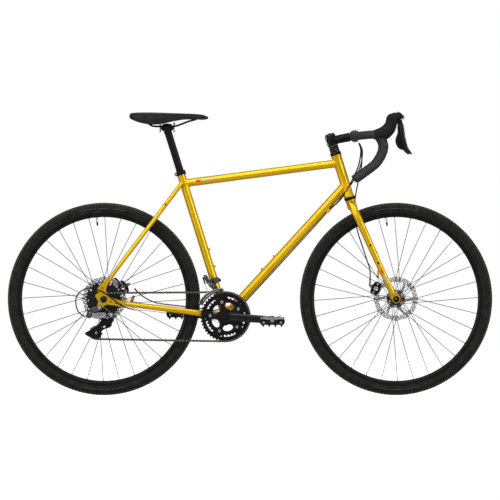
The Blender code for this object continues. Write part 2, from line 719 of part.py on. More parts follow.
# ---- derailleurs ----------------------------------------------------------------------------
def make_rear_derailleur():
    face = -(REAR_DROPOUT_INNER + DROPOUT_THICKNESS + GAP)
    bolt = HANGER_BOLT
    barrel = rod("barrel", bolt + Y_AXIS * face, bolt + Y_AXIS * (face - 0.0160), 0.0090,
                 sides=14)
    ear_outline = [(-0.5380, 0.3110), (-0.5520, 0.3245), (-0.5760, 0.3130), (-0.5890, 0.3000),
                   (-0.5890, 0.2830), (-0.5720, 0.2830), (-0.5720, 0.3030), (-0.5540, 0.3075)]
    ear = plate("ear", ear_outline, LINK_REAR_PIVOT.y - 0.0055, face - 0.0010)
    knuckle = fuse("derailleur_b_knuckle", "silver_alloy", [barrel, ear])
    hang_on([knuckle], "derailleur_hanger_axis", bolt)

    play, half = 0.0035, 0.0055
    rear, front = LINK_REAR_PIVOT, LINK_FRONT_PIVOT
    link = plate("derailleur_link", [(rear.x + play, 0.2845), (rear.x + play, 0.2985),
                                     (front.x - play, 0.3005), (front.x - play, 0.2820)],
                 rear.y - half, rear.y + half, "silver_alloy")
    hang_on([link], "derailleur_link_axis", rear)

    pivot = CAGE_PIVOT
    drum = rod("drum", pivot + Y_AXIS * -0.0668, pivot + Y_AXIS * (front.y - half), 0.0100,
               sides=14)
    nose = plate("nose", [(front.x + play, 0.2990), (front.x + play, 0.2830),
                          (pivot.x + 0.0060, 0.2830), (pivot.x + 0.0090, 0.2980)],
                 front.y - half + 0.0005, -0.0690)
    p_knuckle = fuse("derailleur_p_knuckle", "silver_alloy", [drum, nose])
    hang_on([p_knuckle], "derailleur_knuckle_axis", front)

    outer_face, inner_face = -0.0663, -0.0549
    guide, tension = GUIDE_PULLEY, TENSION_PULLEY
    along = (tension - guide).normalized()
    across = Vector((along.z, 0, -along.x))
    outline = []
    for centre, sense in ((guide, -1), (tension, 1)):
        for k in (-1, -0.5, 0, 0.5, 1):
            turn = k * math.pi / 2
            out = (along * (sense * math.cos(turn)) + across * (sense * math.sin(turn)))
            outline.append((centre.x + out.x * 0.0110, centre.z + out.z * 0.0110))
    cage = [plate("outer", outline, outer_face, outer_face + 0.0015),
            plate("inner", outline, inner_face - 0.0015, inner_face)]
    for centre in (guide, tension):
        place = Vector((centre.x, 0, centre.z))
        cage.append(rod("bolt", place + Y_AXIS * (outer_face + 0.0003),
                        place + Y_AXIS * (inner_face - 0.0003), 0.0030, sides=10))
    lug = plate("lug", disc_outline(pivot, 0.0100, 10), outer_face, outer_face + 0.0015)
    made = fuse("derailleur_cage", "black_alloy", [cage[0], lug, cage[2], cage[3], cage[1]])
    hang_on([made], "derailleur_cage_axis", pivot)
    for name, centre in (("guide_pulley", guide), ("tension_pulley", tension)):
        outer = pitch_radius(PULLEY_TEETH) - 0.0044
        wheel = turned(name, [(0.0034, -0.0028), (0.0080, -0.0028), (0.0085, -0.0011),
                              (outer, -0.0011), (outer, 0.0011), (0.0085, 0.0011),
                              (0.0080, 0.0028), (0.0034, 0.0028)],
                       centre, Y_AXIS, "black_plastic", 14)
        hang_on([wheel], f"{name}_axis", centre)


def make_front_derailleur():
    along = (SEAT_TUBE_TOP - BOTTOM_BRACKET).normalized()
    middle = BOTTOM_BRACKET + along * 0.1370
    inner, outer = SEAT_TUBE_RADIUS + GAP, SEAT_TUBE_RADIUS + 0.0035
    band = turned("band", [(outer, -0.0080), (outer, 0.0080), (inner, 0.0080),
                           (inner, -0.0080)], middle, along, sides=16)
    body = block("body", (middle.x, -0.0225, middle.z - 0.0020), (0.0260, 0.0100, 0.0200))
    bore = rod("bore", middle - along * 0.04, middle + along * 0.04, inner, sides=16)
    fuse("front_derailleur_clamp", "silver_alloy", [band, body], [bore])

    ring_tip = pitch_radius(RING_TEETH) + 0.0035
    turns = [math.radians(degrees) for degrees in (94, 104, 114, 124, 134, 144, 154)]
    heights = [0.0095, 0.0105, 0.0120, 0.0135, 0.0150, 0.0160, 0.0150]
    lower = [(BOTTOM_BRACKET.x + math.cos(t) * ring_tip, BOTTOM_BRACKET.z + math.sin(t) * ring_tip)
             for t in turns]
    upper = [(BOTTOM_BRACKET.x + math.cos(t) * (ring_tip + h),
              BOTTOM_BRACKET.z + math.sin(t) * (ring_tip + h)) for t, h in zip(turns, heights)]
    outline = lower + upper[::-1]
    outer_plate = plate("outer", outline, -0.0555, -0.0540)
    inner_plate = plate("inner", outline, -0.0400, -0.0385)
    tail = math.radians(152)
    bridge_end = BOTTOM_BRACKET + Vector((math.cos(tail), 0, math.sin(tail))) * (ring_tip + 0.0100)
    tail_pin = rod("pin", bridge_end - Y_AXIS * 0.0545, bridge_end - Y_AXIS * 0.0395, 0.0030,
                   sides=8)
    top = math.radians(110)
    crown = BOTTOM_BRACKET + Vector((math.cos(top), 0, math.sin(top))) * (ring_tip + 0.0105)
    web = block("web", (crown.x, -0.0470, crown.z + 0.0008), (0.0220, 0.0162, 0.0050))
    arm = plate("arm", [(-0.1660, 0.4340), (-0.1580, 0.4360), (-0.1450, 0.4130),
                        (-0.1180, 0.3950), (-0.1150, 0.3840), (-0.1270, 0.3780),
                        (-0.1330, 0.3880), (-0.1520, 0.3990)],
                -0.0400, -0.0345)
    cage = fuse("front_derailleur_cage", "silver_alloy",
                [outer_plate, tail_pin, web, inner_plate, arm])
    hang_on([cage], "front_derailleur_axis", Vector((-0.1400, -0.0290, 0.4150)))


# ---- front end ------------------------------------------------------------------------------
def blade_path(side):
    return [(0.3680, side * 0.0200, 0.6920), (0.3760, side * 0.0330, 0.6760),
            (0.3870, side * 0.0425, 0.6520), (0.4050, side * 0.0465, 0.6120),
            (0.4277, side * 0.0495, 0.5620), (0.4520, side * 0.0520, 0.5080),
            (0.4775, side * 0.0535, 0.4520), (0.5035, side * 0.0545, 0.3980),
            (0.5170, side * 0.0545, 0.3690)]


def make_fork():
    pieces = [rod("steerer", on_head_axis(-0.02), on_head_axis(0.2330), STEERER_RADIUS,
                  sides=16),
              rod("crown", on_head_axis(-0.0440), on_head_axis(-CUP_HEIGHT - GAP), 0.0185,
                  end_radius=0.0195, sides=16)]
    holes = []
    for side in (-1, 1):
        radii = [0.0145, 0.0145, 0.0140, 0.0135, 0.0128, 0.0118, 0.0108, 0.0098, 0.0090]
        pieces.append(sweep("blade", blade_path(side), radii, sides=10))
        faces = sorted((side * FRONT_DROPOUT_INNER,
                        side * (FRONT_DROPOUT_INNER + DROPOUT_THICKNESS)))
        outline = [(0.5040, 0.3740), (0.5080, 0.3560), (0.5190, 0.3370), (0.5310, 0.3350),
                   (0.5420, 0.3430), (0.5430, 0.3560), (0.5340, 0.3660), (0.5220, 0.3760),
                   (0.5120, 0.3830)]
        pieces.append(plate("dropout", outline, *faces))
        holes.append(rod("hole", FRONT_AXLE + Y_AXIS * (side * 0.04),
                         FRONT_AXLE + Y_AXIS * (side * 0.07), AXLE_RADIUS + GAP, sides=12))
        clear_hub = rod("clear", FRONT_AXLE + Y_AXIS * (side * 0.02),
                        FRONT_AXLE + Y_AXIS * (side * (FRONT_DROPOUT_INNER - 0.0001)), 0.0140,
                        sides=16)
        holes.append(clear_hub)
    fuse("fork", "frame_paint", pieces, holes)
    end = FRONT_DROPOUT_INNER + DROPOUT_THICKNESS + GAP
    profile = [(0.0070, -end - 0.0090), (0.0090, -end - 0.0040), (0.0090, -end),
               (AXLE_RADIUS, -end), (AXLE_RADIUS, end), (0.0090, end), (0.0090, end + 0.0070),
               (0.0065, end + 0.0090)]
    turned("front_axle", profile, FRONT_AXLE, Y_AXIS, "steel", 12, hollow=False)


def bar_path():
    """Tops, forward bends and drops, from the right end to the left end."""
    right = [(0.3800, -0.2200, 0.7825), (0.4165, -0.2190, 0.8090), (0.4527, -0.2180, 0.8370),
             (0.4720, -0.2170, 0.8642), (0.4820, -0.2160, 0.8912), (0.4810, -0.2155, 0.9135),
             (0.4700, -0.2145, 0.9340), (0.4545, -0.2130, 0.9435), (0.4340, -0.2100, 0.9440),
             (0.4130, -0.2030, 0.9420), (0.3940, -0.1870, 0.9400), (0.3825, -0.1650, 0.9395),
             (0.3787, -0.1300, 0.9395)]
    left = [(x, -y, z) for x, y, z in reversed(right)]
    middle = [(0.3787, y, 0.9395) for y in (-0.0700, 0.0, 0.0700)]
    return right + middle + left


def make_cockpit():
    sweep("handlebar", bar_path(), BAR_RADIUS, "bar_tape", 12)
    steerer_hole = rod("hole", on_head_axis(0.15), on_head_axis(0.2335), STEERER_RADIUS + GAP,
                       sides=16)
    span = Y_AXIS * 0.05
    bar_hole = rod("hole", BAR_CLAMP - span, BAR_CLAMP + span, BAR_RADIUS + 0.0008, sides=16)
    quill = rod("quill", on_head_axis(0.1940), on_head_axis(0.2360), 0.0190, sides=16)
    spacers = rod("spacers", on_head_axis(HEAD_LENGTH + CUP_HEIGHT + GAP), on_head_axis(0.1945),
                  0.0175, sides=16)
    cap = rod("cap", on_head_axis(0.2355), on_head_axis(0.2400), 0.0160, sides=16)
    reach = (BAR_CLAMP - on_head_axis(0.2142)).normalized()
    extension = rod("extension", on_head_axis(0.2142), BAR_CLAMP - reach * 0.0100, 0.0160,
                    end_radius=0.0165, sides=16)
    clamp = rod("clamp", BAR_CLAMP - Y_AXIS * 0.0230, BAR_CLAMP + Y_AXIS * 0.0230, 0.0215,
                sides=16)
    fuse("stem", "black_alloy", [quill, spacers, cap, extension, clamp],
         [steerer_hole, bar_hole])


def make_shifter_body(side, word):
    """Rubber hood and the lever housing inside it, cut to fit the bar."""
    outline = [(0.4450, 0.9580), (0.4665, 0.9676), (0.4830, 0.9780), (0.4953, 0.9890),
               (0.4998, 1.0110), (0.5110, 1.0205), (0.5243, 1.0230), (0.5400, 1.0180),
               (0.5510, 1.0060), (0.5490, 1.0010), (0.5240, 1.0010), (0.5225, 0.9800),
               (0.5200, 0.9580), (0.5110, 0.9420), (0.4970, 0.9284), (0.4880, 0.9250),
               (0.4580, 0.9320)]
    half = 0.0182
    body = plate("hood", outline, side * LEVER_Y - half, side * LEVER_Y + half)
    bar = sweep("bar", bar_path(), BAR_RADIUS + 0.0004, sides=12)
    made = fuse(f"{word}_shifter_body", "hood_rubber", [body], [bar])
    return made


def make_levers(side, word):
    """Bracket, brake lever and shift paddle; the lever carries the paddle inboard."""
    y = side * LEVER_Y
    inward = -side
    pivot = Vector((LEVER_PIVOT.x, y, LEVER_PIVOT.z))
    bracket = plate(f"{word}_lever_bracket",
                    [(0.5260, 0.9860), (0.5260, 0.9980), (0.5460, 0.9980), (0.5470, 0.9880),
                     (0.5380, 0.9820)], y - 0.0100, y + 0.0100, "black_alloy")
    hang_on([bracket], f"{word}_lever_axis", pivot)
    blade = [(0.5395, 0.9807), (0.5480, 0.9865), (0.5525, 0.9720), (0.5566, 0.9445),
             (0.5620, 0.9170), (0.5681, 0.8970), (0.5820, 0.8755), (0.5800, 0.8720),
             (0.5700, 0.8800), (0.5590, 0.8950), (0.5480, 0.9170), (0.5420, 0.9445),
             (0.5390, 0.9640)]
    faces = sorted((y - inward * 0.0100, y + inward * 0.0020))
    lever = plate(f"{word}_brake_lever", blade, *faces, "black_alloy")
    paddle_outline = [(0.5340, 0.9720), (0.5385, 0.9740), (0.5430, 0.9520), (0.5490, 0.9220),
                      (0.5560, 0.9040), (0.5640, 0.8920), (0.5600, 0.8860), (0.5480, 0.8910),
                      (0.5360, 0.9080), (0.5310, 0.9260), (0.5330, 0.9520)]
    faces = sorted((y + inward * 0.0025, y + inward * 0.0100))
    paddle = plate(f"{word}_shift_paddle", paddle_outline, *faces, "black_alloy")
    hang_on([lever], f"{word}_brake_lever_axis", Vector((0.5415, y, 0.9850)))
    hang_on([paddle], f"{word}_shift_paddle_axis", Vector((0.5360, y, 0.9850)))


# ---- brakes ---------------------------------------------------------------------------------
def make_caliper(word, centre, rotor_y, axle, outboard_limit):
    """Single-piston body with a slot for the disc, and the arm that its cable pulls."""
    low_y, high_y = rotor_y - 0.0130, outboard_limit
    out = (centre - axle).normalized()
    side = Vector((-out.z, 0, out.x))
    corners = ((-0.0140, -0.0230), (-0.0140, 0.0230), (0.0120, 0.0260), (0.0170, 0.0),
               (0.0120, -0.0260))
    outline = [(centre.x + out.x * a + side.x * b, centre.z + out.z * a + side.z * b)
               for a, b in corners]
    body = plate("body", outline, low_y, high_y)
    slot_cut = rod("slot", axle + Y_AXIS * (rotor_y - 0.0022), axle + Y_AXIS * (rotor_y + 0.0022),
                   ROTOR_RADIUS + 0.0030, sides=32)
    fuse(f"{word}_brake_caliper", "black_alloy", [body], [slot_cut])
    arm_outline = [(centre.x + out.x * a + side.x * b, centre.z + out.z * a + side.z * b)
                   for a, b in ((-0.0080, -0.0070), (-0.0080, 0.0070), (0.0060, 0.0090),
                                (0.0260, 0.0050), (0.0300, 0.0), (0.0260, -0.0050),
                                (0.0060, -0.0090))]
    arm = plate(f"{word}_caliper_arm", arm_outline, high_y + GAP, high_y + 0.0045,
                "silver_alloy")
    hang_on([arm], f"{word}_caliper_axis", centre)


# ---- seat -----------------------------------------------------------------------------------
def make_seat():
    along = (SEAT_TUBE_TOP - BOTTOM_BRACKET).normalized()
    head = Vector((-0.3000, 0, 0.9640))
    foot = SEAT_TUBE_TOP - along * 0.1300
    shaft_top = SEAT_TUBE_TOP + along * 0.1490
    shaft = rod("shaft", foot, shaft_top, SEATPOST_RADIUS, sides=16)
    rail_z, rail_radius = 0.9745, 0.0035
    base_top = rail_z - rail_radius - GAP
    cradle = block("cradle", (head.x, 0, base_top - 0.0065), (0.0440, 0.0540, 0.0130))
    web = block("web", (head.x, 0, rail_z), (0.0340, 0.0280, 0.0160))
    lid = block("lid", (head.x, 0, rail_z + rail_radius + GAP + 0.0030),
                (0.0340, 0.0540, 0.0060))
    post = fuse("seatpost", "black_alloy", [shaft, cradle, web, lid])

    rail_y = 0.0215
    right = [(-0.3900, -0.0330, 0.9960), (-0.3720, -0.0290, 0.9880),
             (-0.3560, -0.0230, 0.9760), (-0.3450, -rail_y, 0.9745),
             (-0.2750, -rail_y, 0.9745), (-0.2500, -0.0190, 0.9820),
             (-0.2100, -0.0150, 0.9960), (-0.2000, -0.0110, 0.9975)]
    left = [(x, -y, z) for x, y, z in reversed(right)]
    rails = sweep("saddle_rails", right + left, rail_radius, "steel", 8)

    bm = bmesh.new()
    stations = [(-0.4363, 0.0300, 1.0080, 1.0180), (-0.4280, 0.0580, 0.9990, 1.0235),
                (-0.4000, 0.0700, 0.9920, 1.0252), (-0.3600, 0.0715, 0.9880, 1.0254),
                (-0.3200, 0.0600, 0.9900, 1.0245), (-0.2800, 0.0420, 0.9960, 1.0230),
                (-0.2400, 0.0290, 0.9990, 1.0218), (-0.2000, 0.0220, 1.0000, 1.0205),
                (-0.1700, 0.0190, 0.9985, 1.0170), (-0.1534, 0.0100, 1.0010, 1.0100)]
    loops = []
    for x, half_width, low, high in stations:
        section = [(0.0, high), (0.55, high - 0.0006), (0.86, high - 0.0045), (1.0, high - 0.0110),
                   (0.96, low + 0.0010), (0.84, low)]
        roof = min(high - 0.0070, 1.0050)
        section += [(0.70, roof), (0.0, roof)]
        right_side = [(-a * half_width, z) for a, z in section]
        left_side = [(a * half_width, z) for a, z in reversed(section[1:-1])]
        loops.append([bm.verts.new((x, y, z)) for y, z in right_side + left_side])
    for loop, other in zip(loops, loops[1:]):
        bridge(bm, loop, other)
    bm.faces.new(loops[0])
    bm.faces.new(loops[-1])
    saddle = add_object("saddle", bm, "saddle_cover")
    hang_on([post, rails, saddle], "seatpost_axis", SEAT_TUBE_TOP)


# ---- cables ---------------------------------------------------------------------------------
def make_cables():
    down_along = (DOWN_TUBE_FRONT - BOTTOM_BRACKET).normalized()
    under = Vector((down_along.z, 0, -down_along.x))

    def below_tube(distance, y, drop=0.0):
        reach = DOWN_TUBE_RADIUS + CABLE_RADIUS + 0.0008 + drop
        depth = math.sqrt(max(reach * reach - y * y, 0))
        return BOTTOM_BRACKET + down_along * distance + under * depth + Y_AXIS * y

    cable("rear_shift_cable",
          [(0.3960, -0.0330, 0.9120), (0.4010, -0.0440, 0.8850), (0.3930, -0.0480, 0.8350),
           (0.3720, -0.0440, 0.7850), (0.3440, -0.0360, 0.7350), (0.3160, -0.0230, 0.6980),
           below_tube(0.5350, -0.0120), below_tube(0.4500, -0.0090),
           below_tube(0.2500, -0.0090), below_tube(0.0600, -0.0090),
           (-0.0780, -0.0090, 0.2580), (-0.1050, -0.0120, 0.2600),
           (-0.1600, -0.0270, 0.2800), (-0.2600, -0.0425, 0.2930),
           (-0.3700, -0.0600, 0.3075), (-0.4142, -0.0710, 0.3115),
           (-0.4592, LOOP_Y, 0.3240), (-0.5022, LOOP_Y, 0.3550),
           (-0.5297, LOOP_Y, 0.3740), (-0.5648, LOOP_Y, 0.3880),
           (-0.5948, LOOP_Y, 0.3870), (-0.6200, LOOP_Y, 0.3700),
           (-0.6299, LOOP_Y, 0.3435), (-0.6230, LOOP_Y, 0.3090),
           (-0.6080, LOOP_Y, 0.2925), (-0.5930, LOOP_Y, 0.2880)], 2)
    cable("front_shift_cable",
          [(0.3960, 0.0300, 0.9120), (0.4020, 0.0420, 0.8850), (0.3950, 0.0460, 0.8350),
           (0.3740, 0.0420, 0.7850), (0.3440, 0.0350, 0.7350), (0.3160, 0.0230, 0.6980),
           below_tube(0.5350, 0.0080), below_tube(0.4500, 0.0050),
           below_tube(0.2500, 0.0030), below_tube(0.0600, 0.0030),
           (-0.0780, 0.0030, 0.2580), (-0.1000, 0.0010, 0.2615),
           (-0.1220, -0.0030, 0.2780), (-0.1390, -0.0120, 0.3200),
           (-0.1560, -0.0250, 0.3800), (-0.1700, -0.0360, 0.4280)], 2)
    cable("rear_brake_cable",
          [(0.3960, 0.0400, 0.9140), (0.4080, 0.0540, 0.8850), (0.4020, 0.0600, 0.8350),
           (0.3800, 0.0570, 0.7850), (0.3480, 0.0480, 0.7350), (0.3160, 0.0340, 0.6960),
           (0.2740, 0.0215, 0.6660), (0.2200, 0.0200, 0.6230),
           (0.1000, 0.0200, 0.4920), (0.0000, 0.0200, 0.3830),
           (-0.0450, 0.0210, 0.3380), (-0.0850, 0.0250, 0.3180),
           (-0.1250, 0.0285, 0.3075), (-0.1650, 0.0310, 0.3110),
           (-0.2200, 0.0375, 0.3185), (-0.2800, 0.0460, 0.3255),
           (-0.3360, 0.0540, 0.3330), (-0.3700, 0.0575, 0.3460),
           (-0.3980, 0.0590, 0.3640), (-0.4200, 0.0600, 0.3860)], 2)
    cable("front_brake_cable",
          [(0.3960, 0.0210, 0.9100), (0.4040, 0.0260, 0.8850), (0.4050, 0.0330, 0.8350),
           (0.3950, 0.0400, 0.7850), (0.3850, 0.0500, 0.7350), (0.3810, 0.0620, 0.6950),
           (0.3800, 0.0660, 0.6500), (0.3900, 0.0665, 0.5960), (0.4080, 0.0665, 0.5400),
           (0.4260, 0.0640, 0.4850), (0.4360, 0.0610, 0.4500), (0.4385, 0.0590, 0.4200)], 2)


def main():
    clear_scene()
    make_main_tubes()
    make_stays()
    make_seat_clamp()
    make_rear_axle()
    make_wheels()
    make_cassette()
    make_crankset()
    make_pedal("right_pedal", 1)
    make_pedal("left_pedal", -1)
    make_chain()
    make_rear_derailleur()
    make_front_derailleur()
    make_fork()
    make_cockpit()
    for side, word in ((-1, "right"), (1, "left")):
        make_shifter_body(side, word)
        make_levers(side, word)
    make_caliper("front", FRONT_CALIPER, FRONT_ROTOR_Y, FRONT_AXLE, 0.0540)
    make_caliper("rear", REAR_CALIPER, REAR_ROTOR_Y, REAR_AXLE, 0.0650)
    make_seat()
    make_cables()


main()
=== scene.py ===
"""The finished look of the road bicycle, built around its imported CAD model."""
import json
import math

import bmesh
import bpy
from mathutils import Matrix, Vector


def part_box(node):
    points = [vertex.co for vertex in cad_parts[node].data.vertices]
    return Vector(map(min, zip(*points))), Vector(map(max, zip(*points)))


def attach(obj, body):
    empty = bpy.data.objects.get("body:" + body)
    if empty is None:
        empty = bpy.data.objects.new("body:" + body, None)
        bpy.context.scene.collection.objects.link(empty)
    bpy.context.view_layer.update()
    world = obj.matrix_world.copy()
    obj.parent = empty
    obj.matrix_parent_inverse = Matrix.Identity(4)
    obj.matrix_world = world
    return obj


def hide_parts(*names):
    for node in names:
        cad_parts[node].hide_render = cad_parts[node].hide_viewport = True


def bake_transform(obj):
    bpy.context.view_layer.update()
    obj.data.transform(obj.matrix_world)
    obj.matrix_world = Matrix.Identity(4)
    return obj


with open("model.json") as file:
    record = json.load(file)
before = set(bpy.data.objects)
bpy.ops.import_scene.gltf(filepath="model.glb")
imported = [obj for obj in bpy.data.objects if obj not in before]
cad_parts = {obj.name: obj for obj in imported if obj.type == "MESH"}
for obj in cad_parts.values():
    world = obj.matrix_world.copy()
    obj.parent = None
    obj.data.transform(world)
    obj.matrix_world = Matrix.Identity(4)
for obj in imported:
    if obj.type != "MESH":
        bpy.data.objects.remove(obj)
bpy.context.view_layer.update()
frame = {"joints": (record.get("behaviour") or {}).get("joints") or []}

# ---- places, read from the frame ------------------------------------------------------------
JOINTS = {joint["name"]: joint for joint in frame["joints"]}
Y_AXIS = Vector((0, 1, 0))


def joint_place(name):
    return Vector(JOINTS[name]["pos_m"])


def middle(node):
    low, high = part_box(node)
    return (Vector(low) + Vector(high)) / 2


FRONT_AXLE = joint_place("front_wheel_spin")
REAR_AXLE = joint_place("rear_wheel_spin")
CRANK = joint_place("crank_spin")
HEAD_BASE = joint_place("steering_turn")
HEAD_AXIS = Vector(JOINTS["steering_turn"]["axis"]).normalized()
SEAT_AXIS = Vector(JOINTS["seatpost_slide"]["axis"]).normalized()
GUIDE = joint_place("guide_pulley_spin")
TENSION = joint_place("tension_pulley_spin")
HANGER = joint_place("derailleur_hanger_swing")
LINK_REAR = joint_place("derailleur_link_swing")
LINK_FRONT = joint_place("derailleur_knuckle_swing")
CAGE_PIVOT = joint_place("derailleur_cage_swing")
FRONT_CALIPER = joint_place("front_caliper_arm_pull")
REAR_CALIPER = joint_place("rear_caliper_arm_pull")
PEDALS = {"right": joint_place("right_pedal_spin"), "left": joint_place("left_pedal_spin")}
TYRE_RADIUS = REAR_AXLE.z
SEAT_TUBE_TOP = CRANK + SEAT_AXIS * 0.5515
TOP_TUBE = (Vector((-0.2334, 0, 0.7686)), Vector((0.3211, 0, 0.8414)))
DOWN_TUBE = (CRANK.copy(), Vector((0.3464, 0, 0.7610)))
DOWN_ALONG = (DOWN_TUBE[1] - DOWN_TUBE[0]).normalized()
HEAD_LENGTH, CUP = 0.1590, 0.0115
HEAD_RADIUS, TOP_RADIUS, DOWN_RADIUS, SEAT_RADIUS, SHELL_RADIUS = 0.018, 0.0145, 0.0166, 0.015, 0.021
CHAIN_PITCH = 0.0127
RING_Y, INNER_RING_Y, COG_Y = -0.047, -0.040, -0.0605
RING_TEETH, INNER_RING_TEETH = 44, 34
COGS = (11, 13, 15, 17, 19, 21, 24, 28, 32)
PULLEY_TEETH = COGS[0]
REAR_DROPOUT = (0.0675, 0.0735)
COG_SPACING = 0.0044
FRONT_ROTOR_Y, REAR_ROTOR_Y = 0.0395, 0.0520
LEVER_Y = 0.2155


def head_point(distance):
    return HEAD_BASE + HEAD_AXIS * distance


def pitch_radius(teeth):
    return CHAIN_PITCH / 2 / math.sin(math.pi / teeth)


def direction(turn):
    """Unit vector in the bicycle's middle plane, turned from +X towards +Z."""
    return Vector((math.cos(turn), 0, math.sin(turn)))


def around(centre, radius, turn):
    """Flat point at a radius and turn about a centre."""
    return (centre.x + radius * math.cos(turn), centre.z + radius * math.sin(turn))


# ---- camera ---------------------------------------------------------------------------------
CAMERA_DISTANCE, CAMERA_HEIGHT = 28.0, 0.86
SCENE_WIDTH, SCENE_MIDDLE = 1.812, 0.5264
camera_data = bpy.data.cameras.new("camera")
camera_data.sensor_width = 36
camera_data.lens = 36 * CAMERA_DISTANCE / SCENE_WIDTH
camera = bpy.data.objects.new("camera", camera_data)
camera.location = (0.0, -CAMERA_DISTANCE, CAMERA_HEIGHT)
dip = math.atan2(CAMERA_HEIGHT - SCENE_MIDDLE, CAMERA_DISTANCE)
camera.rotation_euler = (math.pi / 2 - dip, 0, 0)
bpy.context.scene.collection.objects.link(camera)
bpy.context.scene.camera = camera

AMBIENT, FLOOR_GLOW = 0.36, 0.84
MATT_SHEEN = 0.12


# ---- materials ------------------------------------------------------------------------------
class Finish:
    """Builds one Principled material from object-space textures."""

    def __init__(self, name, colour, roughness=0.5, metallic=0.0, coat=0.0):
        self.material = bpy.data.materials.new(name)
        self.material.use_nodes = True
        self.tree = self.material.node_tree
        self.shader = self.tree.nodes["Principled BSDF"]
        self.shader.inputs["Base Color"].default_value = (*colour, 1)
        self.shader.inputs["Roughness"].default_value = roughness
        self.shader.inputs["Metallic"].default_value = metallic
        self.shader.inputs["Coat Weight"].default_value = coat
        self.shader.inputs["Coat Roughness"].default_value = 0.06
        self.place = self.tree.nodes.new("ShaderNodeTexCoord").outputs["Object"]

    def node(self, kind, **values):
        made = self.tree.nodes.new(kind)
        for key, value in values.items():
            made.inputs[key].default_value = value
        return made

    def link(self, output, target):
        self.tree.links.new(output, target)

    def noise(self, scale, detail=4.0):
        made = self.node("ShaderNodeTexNoise", Scale=scale, Detail=detail)
        self.link(self.place, made.inputs["Vector"])
        return made.outputs[0]

    def cells(self, scale):
        made = self.node("ShaderNodeTexVoronoi", Scale=scale)
        self.link(self.place, made.inputs["Vector"])
        return made.outputs["Distance"]

    def colours(self, source, stops):
        """Colour ramp from (position, colour) stops into the base colour."""
        ramp = self.node("ShaderNodeValToRGB")
        elements = ramp.color_ramp.elements
        for element, (position, colour) in zip(elements, stops):
            element.position = position
            element.color = (*colour, 1)
        self.link(source, ramp.inputs[0])
        self.link(ramp.outputs[0], self.shader.inputs["Base Color"])

    def rough(self, source, low, high):
        spread = self.node("ShaderNodeMapRange", **{"To Min": low, "To Max": high})
        self.link(source, spread.inputs["Value"])
        self.link(spread.outputs[0], self.shader.inputs["Roughness"])

    def bump(self, source, strength, depth):
        made = self.node("ShaderNodeBump", Strength=strength, Distance=depth)
        self.link(source, made.inputs["Height"])
        self.link(made.outputs[0], self.shader.inputs["Normal"])


# name: dark and light colour, noise scale, roughness span, metallic, coat, bump scale, bump
# strength and whether the bump is made of cells
FINISHES = {
    "paint": ((0.66, 0.385, 0.002), (0.76, 0.455, 0.003), 5, (0.32, 0.37), 0.75, 0.10, 60, 0.0015, 0),
    "black": ((0.003, 0.003, 0.003), (0.008, 0.008, 0.008), 60, (0.28, 0.44), 0.1, 0.0, 1800, 0.08, 0),
    "gloss": ((0.004, 0.004, 0.004), (0.009, 0.009, 0.010), 30, (0.20, 0.32), 0.0, 0.3, 1200, 0.05, 0),
    "silver": ((0.34, 0.34, 0.36), (0.60, 0.60, 0.62), 80, (0.22, 0.40), 1.0, 0.0, 1500, 0.10, 0),
    "steel": ((0.26, 0.26, 0.27), (0.52, 0.52, 0.54), 90, (0.22, 0.44), 1.0, 0.0, 1500, 0.10, 0),
    "spoke": ((0.030, 0.030, 0.032), (0.070, 0.070, 0.074), 50, (0.30, 0.38), 0.5, 0.0, 900, 0.05, 0),
    "grey": ((0.05, 0.05, 0.053), (0.13, 0.13, 0.135), 70, (0.28, 0.46), 0.9, 0.0, 1500, 0.10, 0),
    "chain": ((0.030, 0.027, 0.023), (0.125, 0.112, 0.098), 160, (0.28, 0.50), 0.9, 0.0, 700, 0.15, 0),
    "cog": ((0.010, 0.010, 0.010), (0.060, 0.060, 0.062), 240, (0.26, 0.44), 1.0, 0.0, 900, 0.10, 0),
    "rotor": ((0.50, 0.50, 0.51), (0.86, 0.86, 0.88), 140, (0.24, 0.42), 1.0, 0.0, 1500, 0.12, 0),
    "tyre": ((0.005, 0.005, 0.005), (0.015, 0.015, 0.014), 45, (0.58, 0.74), 0.0, 0.0, 1100, 0.35, 0),
    "tread": ((0.012, 0.012, 0.012), (0.120, 0.116, 0.108), 420, (0.80, 0.90), 0.0, 0.0, 900, 0.5, 0),
    "print": ((0.07, 0.07, 0.07), (0.13, 0.13, 0.13), 300, (0.60, 0.70), 0.0, 0.0, 900, 0.05, 0),
    "tape": ((0.012, 0.012, 0.013), (0.042, 0.042, 0.043), 150, (0.50, 0.66), 0.0, 0.0, 420, 0.45, 1),
    "hood": ((0.004, 0.004, 0.004), (0.009, 0.009, 0.010), 60, (0.52, 0.66), 0.0, 0.0, 700, 0.25, 1),
    "leather": ((0.005, 0.005, 0.005), (0.013, 0.013, 0.014), 40, (0.44, 0.60), 0.0, 0.0, 1000, 0.35, 1),
    "plastic": ((0.004, 0.004, 0.005), (0.010, 0.010, 0.011), 90, (0.42, 0.54), 0.0, 0.0, 1600, 0.15, 0),
    "red": ((0.62, 0.010, 0.008), (0.80, 0.020, 0.012), 200, (0.30, 0.38), 0.0, 0.3, 900, 0.03, 0),
    "sticker": ((0.36, 0.31, 0.20), (0.48, 0.42, 0.30), 200, (0.34, 0.44), 0.1, 0.3, 900, 0.03, 0),
    "faint": ((0.55, 0.33, 0.015), (0.64, 0.39, 0.02), 200, (0.30, 0.42), 0.2, 0.6, 900, 0.03, 0),
}


def make_materials():
    made = {}
    for name, row in FINISHES.items():
        dark, light, scale, (smooth, dull), metallic, coat, grain, strength, celled = row
        f = Finish(name, light, dull, metallic, coat)
        f.shader.inputs["Specular IOR Level"].default_value = MATT_SHEEN if metallic < 0.5 else 0.5
        f.colours(f.noise(scale, 6.0), [(0.30, dark), (0.70, light)])
        f.rough(f.noise(scale * 2.2), smooth, dull)
        f.bump(f.cells(grain) if celled else f.noise(grain, 2.0), strength, 0.0004)
        made[name] = f.material
    return made


